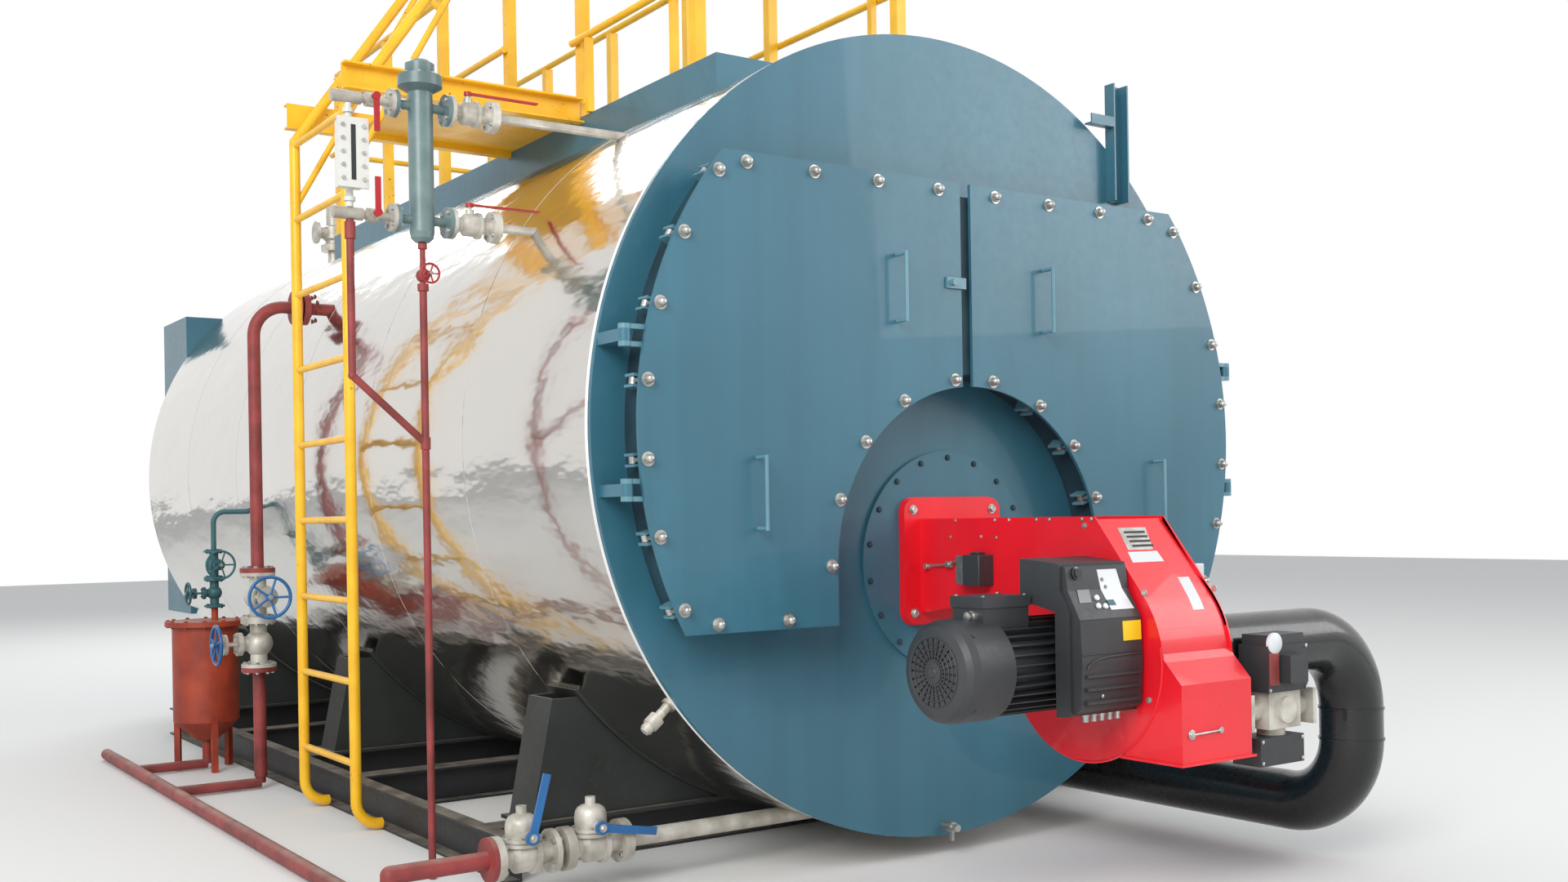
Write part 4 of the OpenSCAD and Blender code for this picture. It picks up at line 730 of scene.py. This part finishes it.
# Side view of the housing, as (y, z): the fan's centre and the front corner of the flat top
FAN = Vector((FAN_Y, FAN_Z))
SLOPE_TOP = Vector((-1.795, 1.262))
VOLUTE_R = 0.330
# The front sheet between the side edges, the edges' outer sides, and how far each stands out
SHEET_X, EDGE_X = 0.1600, 0.1652
SHEET_LIFT, LIP = 0.0008, 0.009
SHEET_DEPTH = 0.025
SEAM_X, SEAM_R = 0.1655, 0.334


def slope_outline(lip, past=20, steps=8):
    """The straight slope that runs into the volute's round, as (y, z) points from the top down."""
    corner = SLOPE_TOP + Vector((-lip, lip))
    r = VOLUTE_R + lip
    reach = corner - FAN
    touch = math.atan2(reach.y, reach.x) + math.acos(r / reach.length)
    turns = [touch + math.radians(past) * i / steps for i in range(steps + 1)]
    return [corner] + [FAN + r * Vector((math.cos(a), math.sin(a))) for a in turns]


def slope_y(z):
    """The sloped front of the burner housing at a height."""
    outline = slope_outline(0)
    for high, low in zip(outline, outline[1:]):
        if low.y <= z <= high.y:
            return low.x + (high.x - low.x) * (z - low.y) / (high.y - low.y)
    return outline[-1].x


def slab(bm, outline, x0, x1):
    """Extrudes a closed side view, given as (y, z) points, from x0 to x1."""
    near = [bm.verts.new((x0, y, z)) for y, z in outline]
    far = [bm.verts.new((x1, y, z)) for y, z in outline]
    count = len(outline)
    for i in range(count):
        j = (i + 1) % count
        bm.faces.new((near[i], near[j], far[j], far[i]))
    bm.faces.new(near[::-1])
    bm.faces.new(far)


def housing_front():
    """The housing's smooth front sheet, its folded side edges and the volute's seam."""
    bm = bmesh.new()
    for lip, x0, x1 in ((SHEET_LIFT, -SHEET_X, SHEET_X), (LIP, -EDGE_X, -SHEET_X),
                        (LIP, SHEET_X, EDGE_X)):
        outer = slope_outline(lip)
        inner = [FAN + (p - FAN) * (1 - SHEET_DEPTH / (p - FAN).length) for p in outer]
        slab(bm, outer + inner[::-1], x0, x1)
    piece("housing_front", bm, "burner_red", smooth=30)
    bm = bmesh.new()
    for side in (-1, 1):
        turns = [math.radians(a) for a in range(10, -100, -5)]
        seam = [(side * SEAM_X, FAN_Y - SEAM_R * math.cos(a), FAN_Z + SEAM_R * math.sin(a))
                for a in turns]
        tube(bm, seam, 0.0035, 8)
    piece("volute_seam", bm, "burner_red")


# Rows that let a plate follow the housing's round, and the fields of the steel plate
PLATE_STEPS = 6
FIELDS, FIELD_PITCH, FIELD_HEIGHT = 4, 0.0145, 0.007


def blank_plates():
    """Plates on the housing's slope, without their words."""
    bm = bmesh.new()
    for top, low, z0, z1 in (((-0.099, 0.038), (-0.106, 0.040), 1.157, 1.124),
                             ((0.055, 0.107), (0.038, 0.089), 1.072, 0.971)):
        rows = []
        for i in range(PLATE_STEPS + 1):
            t = i / PLATE_STEPS
            z = z0 + t * (z1 - z0)
            rows.append((tuple(a + t * (b - a) for a, b in zip(top, low)), (slope_y(z), z)))
        sheet(bm, rows)
    piece("blank_plates", bm, "label_white")
    bm = bmesh.new()
    sheet(bm, [((-0.076, 0.055), (slope_y(1.234), 1.234)),
               ((-0.091, 0.026), (slope_y(1.163), 1.163))])
    piece("blank_steel_plate", bm, "nut_steel")
    bm = bmesh.new()
    for i in range(FIELDS):
        top = 1.223 - FIELD_PITCH * i
        foot = top - FIELD_HEIGHT
        sheet(bm, [((-0.060, 0.040), (slope_y(top), top)),
                   ((-0.062, 0.036), (slope_y(foot), foot))], 0.0028)
    piece("steel_plate_fields", bm, "dark_screw")


def around_fan(x, radius, a):
    """A point on a circle about the fan's axis."""
    return (x, FAN_Y + radius * math.cos(a), FAN_Z + radius * math.sin(a))


def motor_dress():
    """The motor's grill with its hub, its bolts, and the screws and gland of its terminal box."""
    face_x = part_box("burner_motor")[0].x
    bm = bmesh.new()
    for r in (0.052, 0.070, 0.088, 0.106):
        points = [around_fan(face_x - 0.001, r, math.tau * i / 48) for i in range(48)]
        tube(bm, points, 0.0022, 6, closed=True)
    hub = [(0, 0), (0.034, 0), (0.034, 0.003), (0.028, 0.006), (0, 0.006)]
    lathe(bm, hub, (face_x, FAN_Y, FAN_Z), LEFT, 32)
    cap = [(0, 0), (0.016, 0), (0.013, 0.004), (0, 0.004)]
    lathe(bm, cap, (face_x - 0.006, FAN_Y, FAN_Z), LEFT, 24)
    for i in range(4):
        a = math.radians(45 + 90 * i)
        place = around_fan(face_x + 0.06, 0.158, a)
        hex_bolt(bm, place, (0, math.cos(a), math.sin(a)), 0.006)
    piece("motor_grill", bm, "charcoal")
    bm = bmesh.new()
    for i in range(6):
        hex_bolt(bm, around_fan(-HOUSING_X - 0.04, 0.146, math.tau * i / 6), LEFT, 0.007)
    box_low_x = -HOUSING_X - 0.500
    for x in (box_low_x + 0.014, box_low_x + 0.186):
        for y in (FAN_Y - 0.061, FAN_Y + 0.061):
            lathe(bm, SCREW, (x, y, FAN_Z + 0.224), UP, 12)
    gland = [(0, 0), (0.017, 0), (0.017, 0.012), (0.013, 0.012), (0.015, 0.032), (0.009, 0.034),
             (0, 0.034)]
    lathe(bm, gland, (box_low_x + 0.005, FAN_Y - 0.030, FAN_Z + 0.165), LEFT, 12)
    piece("motor_bolts", bm, "nut_steel")


# Front of the control box from top to foot, as (y, z)
BOX_FRONT = ((-1.942, 1.120), (-1.952, 1.048), (-2.002, 0.960), (-2.010, 0.830), (-2.002, 0.690))


def box_front_y(z):
    """The front of the control box at a height."""
    for (y0, z0), (y1, z1) in zip(BOX_FRONT, BOX_FRONT[1:]):
        if z1 <= z <= z0:
            return y0 + (y1 - y0) * (z - z0) / (z1 - z0)
    return BOX_FRONT[-1][0]


def box_sheet(bm, top, low, z0, z1, lift=0.002):
    """A plate laid over the control box's front between two heights."""
    heights = [z0] + [z for _, z in BOX_FRONT if z1 < z < z0] + [z1]
    rows = []
    for z in heights:
        t = (z0 - z) / (z0 - z1)
        sides = (top[0] + t * (low[0] - top[0]), top[1] + t * (low[1] - top[1]))
        rows.append((sides, (box_front_y(z), z)))
    sheet(bm, rows, lift)


def control_panel():
    """Panel, display, keys, blank label, screws, glands and ridges of the control box."""
    key = [(0, 0), (0.009, 0), (0.009, 0.006), (0, 0.006)]
    bm = bmesh.new()
    box_sheet(bm, (-0.308, -0.224), (-0.292, -0.191), 1.109, 0.986)
    for x, z in ((-0.335, 1.023), (-0.342, 0.999), (-0.313, 0.997)):
        lathe(bm, key, (x, box_front_y(z), z), (0, -1, 0.5), 16)
    piece("control_panel", bm, "label_white")
    lens = [(0, 0), (0.006, 0), (0.006, 0.004), (0, 0.004)]
    knob = [(0, 0), (0.020, 0), (0.020, 0.006), (0.015, 0.008), (0.015, 0.014), (0, 0.014)]
    bm = bmesh.new()
    box_sheet(bm, (-0.404, -0.352), (-0.416, -0.364), 1.051, 1.011)
    for x, z in ((-0.292, 1.078), (-0.280, 1.055)):
        lathe(bm, lens, (x, box_front_y(z), z), (0, -1, 0.2), 12)
    lathe(bm, knob, (-0.402, box_front_y(1.100), 1.100), (0, -1, 0.14), 24)
    piece("control_display", bm, "dark_glass")
    bm = bmesh.new()
    box_sheet(bm, (-0.298, -0.268), (-0.294, -0.264), 1.016, 1.000, 0.004)
    piece("control_key", bm, "pot_valve_teal")
    bm = bmesh.new()
    box_sheet(bm, (-0.260, -0.180), (-0.260, -0.182), 0.950, 0.890)
    piece("yellow_blank", bm, "label_yellow")
    bm = bmesh.new()
    for x, z in ((-0.354, 0.726), (-0.205, 0.709)):
        lathe(bm, SCREW, (x, box_front_y(z) + 0.001, z), FRONT, 12)
    gland = [(0, 0), (0.013, 0), (0.013, 0.010), (0.010, 0.010), (0.011, 0.026), (0.006, 0.028),
             (0, 0.028)]
    for x in (-0.360, -0.325, -0.290, -0.255, -0.220):
        lathe(bm, gland, (x, -1.938, 0.668), (0, 0, -1), 12)
    piece("box_screws", bm, "nut_steel")
    bm = bmesh.new()
    ridge = [(-0.420, 0.812), (-0.414, 0.824), (-0.398, 0.834), (-0.370, 0.841),
             (-0.330, 0.845), (-0.190, 0.850)]
    tube(bm, [(x, box_front_y(z), z) for x, z in ridge], 0.004, 10)
    for z in (0.961, 0.856):
        tube(bm, [(-0.441, box_front_y(z), z), (-0.179, box_front_y(z), z)], 0.0018, 6)
    piece("box_ridges", bm, "charcoal")


ACTUATOR_FRONT_Y, SWITCH_FRONT_Y = -2.160, -2.150
GAS_VALVE_Y, GAS_VALVE_Z = -2.09, 0.640
GAS_FLANGE_X, GAS_BOLT_OFFSET = (0.181, 0.495), 0.045
PRESSURE_SWITCH_Y, PRESSURE_SWITCH_Z = -1.893, 1.080


def gas_dress():
    """The actuator's window and cap, the boxes' screws, and the bolts of the valve's flanges."""
    bm = bmesh.new()
    box(bm, (0.262, ACTUATOR_FRONT_Y, 0.775), (0.046, 0.012, 0.105))
    piece("actuator_window", bm, "pipe_red", bevel=0.003)
    cap = [(0, 0), (0.034, 0), (0.034, 0.010), (0.028, 0.015), (0, 0.016)]
    bm = bmesh.new()
    lathe(bm, cap, (0.268, ACTUATOR_FRONT_Y + 0.006, 0.858), FRONT, 32)
    piece("actuator_cap", bm, "label_white")
    bm = bmesh.new()
    for x, z in ((0.243, 0.708), (0.427, 0.708), (0.427, 0.842)):
        lathe(bm, SCREW, (x, ACTUATOR_FRONT_Y, z), FRONT, 12)
    for x, z in ((0.215, 0.477), (0.415, 0.477), (0.215, 0.545), (0.415, 0.545)):
        lathe(bm, SCREW, (x, SWITCH_FRONT_Y, z), FRONT, 12)
    for x in GAS_FLANGE_X:
        for sy in (-1, 1):
            for sz in (-1, 1):
                place = (x, GAS_VALVE_Y + sy * GAS_BOLT_OFFSET, GAS_VALVE_Z + sz * GAS_BOLT_OFFSET)
                hex_bolt(bm, place, RIGHT, 0.008)
    piece("gas_screws", bm, "nut_steel")


def pressure_switch():
    """The small air-pressure switch on the far side of the housing."""
    can = [(0, 0), (0.036, 0), (0.036, 0.022), (0.030, 0.026), (0, 0.026)]
    bm = bmesh.new()
    lathe(bm, can, (HOUSING_X, PRESSURE_SWITCH_Y, PRESSURE_SWITCH_Z), RIGHT, 28)
    piece("pressure_switch", bm, "charcoal")
    bm = bmesh.new()
    box(bm, (HOUSING_X + 0.045, PRESSURE_SWITCH_Y, PRESSURE_SWITCH_Z), (0.038, 0.050, 0.062))
    piece("pressure_switch_cover", bm, "label_white", bevel=0.004)


housing_screws()
housing_front()
air_linkage()
gas_dress()
pressure_switch()
blank_plates()
motor_dress()
control_panel()


# Bolts of the column's cap, the posts' feet, the safety valves and the rear smoke box

DECK_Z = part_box("platform")[1].z
POST_X = 0.525
POST_Y = (-0.02, 0.975, 1.753, 2.604, 3.454, 4.305)
FOOT, FOOT_HEIGHT = 0.096, 0.008
# The last posts stand at the deck's end, on shorter feet
LAST_FOOT = 0.050
COVER_X, COVER_Y = 0.620, 5.948
VALVE_X, VALVE_Y, VALVE_FLANGE_Z = 0.380, 4.890, 3.1607


def column_cap_bolts():
    """Bolts of the flange under the level column's cap."""
    top_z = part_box("level_column")[1].z
    bm = bmesh.new()
    bolt_ring(bm, (COLUMN_X, 0, top_z - 0.056), UP, 0.066, 8, 0.008, math.pi / 8)
    piece("column_cap_bolts", bm, "nut_steel")


def post_feet():
    """A plate with one bolt under each railing post."""
    bm = bmesh.new()
    bolts = bmesh.new()
    for side in (-1, 1):
        for y in POST_Y:
            depth = LAST_FOOT if y == POST_Y[-1] else FOOT
            middle = (side * (POST_X - 0.018), y, DECK_Z + FOOT_HEIGHT / 2)
            box(bm, middle, (FOOT, depth, FOOT_HEIGHT))
            hex_bolt(bolts, (side * (POST_X - 0.048), y, DECK_Z + FOOT_HEIGHT), UP, 0.007)
    piece("post_feet", bm, "rail_yellow", bevel=0.001)
    piece("post_foot_bolts", bolts, "nut_steel")


def rear_bolts():
    """Bolts of the rear smoke box's covers and of the safety valves' flanges."""
    bm = bmesh.new()
    for side in (-1, 1):
        upright = [(sx * 0.228, -0.270 + 0.135 * i) for i in range(5) for sx in (-1, 1)]
        level = [(dx, sz * 0.275) for dx in (-0.114, 0, 0.114) for sz in (-1, 1)]
        for dx, dz in upright + level:
            hex_bolt(bm, (side * COVER_X + dx, COVER_Y, AXIS_Z + dz), BACK, 0.009)
    piece("rear_cover_bolts", bm, "nut_steel")
    bm = bmesh.new()
    for side in (-1, 1):
        flange = (side * VALVE_X, VALVE_Y, VALVE_FLANGE_Z)
        bolt_ring(bm, flange, UP, 0.066, 8, 0.007, math.pi / 8)
    piece("safety_valve_bolts", bm, "nut_steel")


column_cap_bolts()
post_feet()
rear_bolts()


# Floor, light and camera

FLOOR_SIZE, FLOOR_Y, FLOOR_Z = 60.0, 2.2, -0.002


def stage():
    """The pale floor, and a world that is white to the camera and softer as light."""
    bpy.ops.mesh.primitive_plane_add(size=FLOOR_SIZE, location=(0, FLOOR_Y, FLOOR_Z))
    floor = bpy.context.object
    floor.name = "floor"
    floor.data.materials.append(new_material("pale_floor", (235, 235, 233), 0.75)[0])
    world = bpy.data.worlds.new("studio")
    SCENE.world = world
    world.use_nodes = True
    nodes, links = world.node_tree.nodes, world.node_tree.links
    nodes.clear()
    out = nodes.new("ShaderNodeOutputWorld")
    light = nodes.new("ShaderNodeBackground")
    light.inputs["Color"].default_value = (0.93, 0.96, 1.0, 1.0)
    light.inputs["Strength"].default_value = 0.55
    white = nodes.new("ShaderNodeBackground")
    white.inputs["Color"].default_value = (1.0, 1.0, 1.0, 1.0)
    white.inputs["Strength"].default_value = 1.0
    path = nodes.new("ShaderNodeLightPath")
    seen = path.outputs["Is Camera Ray"]
    for ray in ("Is Glossy Ray", "Is Transmission Ray"):
        either = nodes.new("ShaderNodeMath")
        either.operation = "MAXIMUM"
        links.new(seen, either.inputs[0])
        links.new(path.outputs[ray], either.inputs[1])
        seen = either.outputs["Value"]
    mix = nodes.new("ShaderNodeMixShader")
    links.new(seen, mix.inputs["Fac"])
    links.new(light.outputs["Background"], mix.inputs[1])
    links.new(white.outputs["Background"], mix.inputs[2])
    links.new(mix.outputs["Shader"], out.inputs["Surface"])


LAMP_SIZE = 6


def lamp(name, place, aim, watts):
    """A square area lamp that points at aim."""
    data = bpy.data.lights.new(name, "AREA")
    data.shape = "RECTANGLE"
    data.size = data.size_y = LAMP_SIZE
    data.energy = watts
    lamp_object = bpy.data.objects.new(name, data)
    SCENE.collection.objects.link(lamp_object)
    lamp_object.location = place
    ahead = Vector(aim) - Vector(place)
    lamp_object.rotation_euler = ahead.to_track_quat("-Z", "Y").to_euler()


CAMERA_PLACE = Vector((-3.786, -5.231, 1.294))
CAMERA_YAW = math.radians(35)
CAMERA_ROLL = math.radians(0.94)
FOCAL_PX = 1855.8
PHOTO_W = 1920
SENSOR_MM = 36.0
HORIZON_BELOW_MIDDLE_PX = 90.5


def camera():
    """The photo's camera: turned, rolled a little, and shifted to put the horizon in place."""
    data = bpy.data.cameras.new("camera")
    data.sensor_width = SENSOR_MM
    data.lens = FOCAL_PX / PHOTO_W * SENSOR_MM
    data.shift_y = HORIZON_BELOW_MIDDLE_PX / PHOTO_W
    data.clip_end = 200
    cam = bpy.data.objects.new("camera", data)
    SCENE.collection.objects.link(cam)
    cam.location = CAMERA_PLACE
    ahead = Vector((math.sin(CAMERA_YAW), math.cos(CAMERA_YAW), 0))
    right = Vector((math.cos(CAMERA_YAW), -math.sin(CAMERA_YAW), 0))
    up = Vector((0, 0, 1))
    right, up = (right * math.cos(CAMERA_ROLL) - up * math.sin(CAMERA_ROLL),
                 up * math.cos(CAMERA_ROLL) + right * math.sin(CAMERA_ROLL))
    turn = Matrix((right, up, -ahead)).transposed()
    cam.rotation_euler = turn.to_euler()
    SCENE.camera = cam


stage()
lamp("key", (-9, -7, 7), (0, 0, 1.3), 1050)
lamp("fill", (8, -7, 6), (0, 1, 1.5), 400)
lamp("rear", (2, 12, 9), (0, 3, 1.5), 500)
camera()
SCENE.view_settings.view_transform = "Standard"
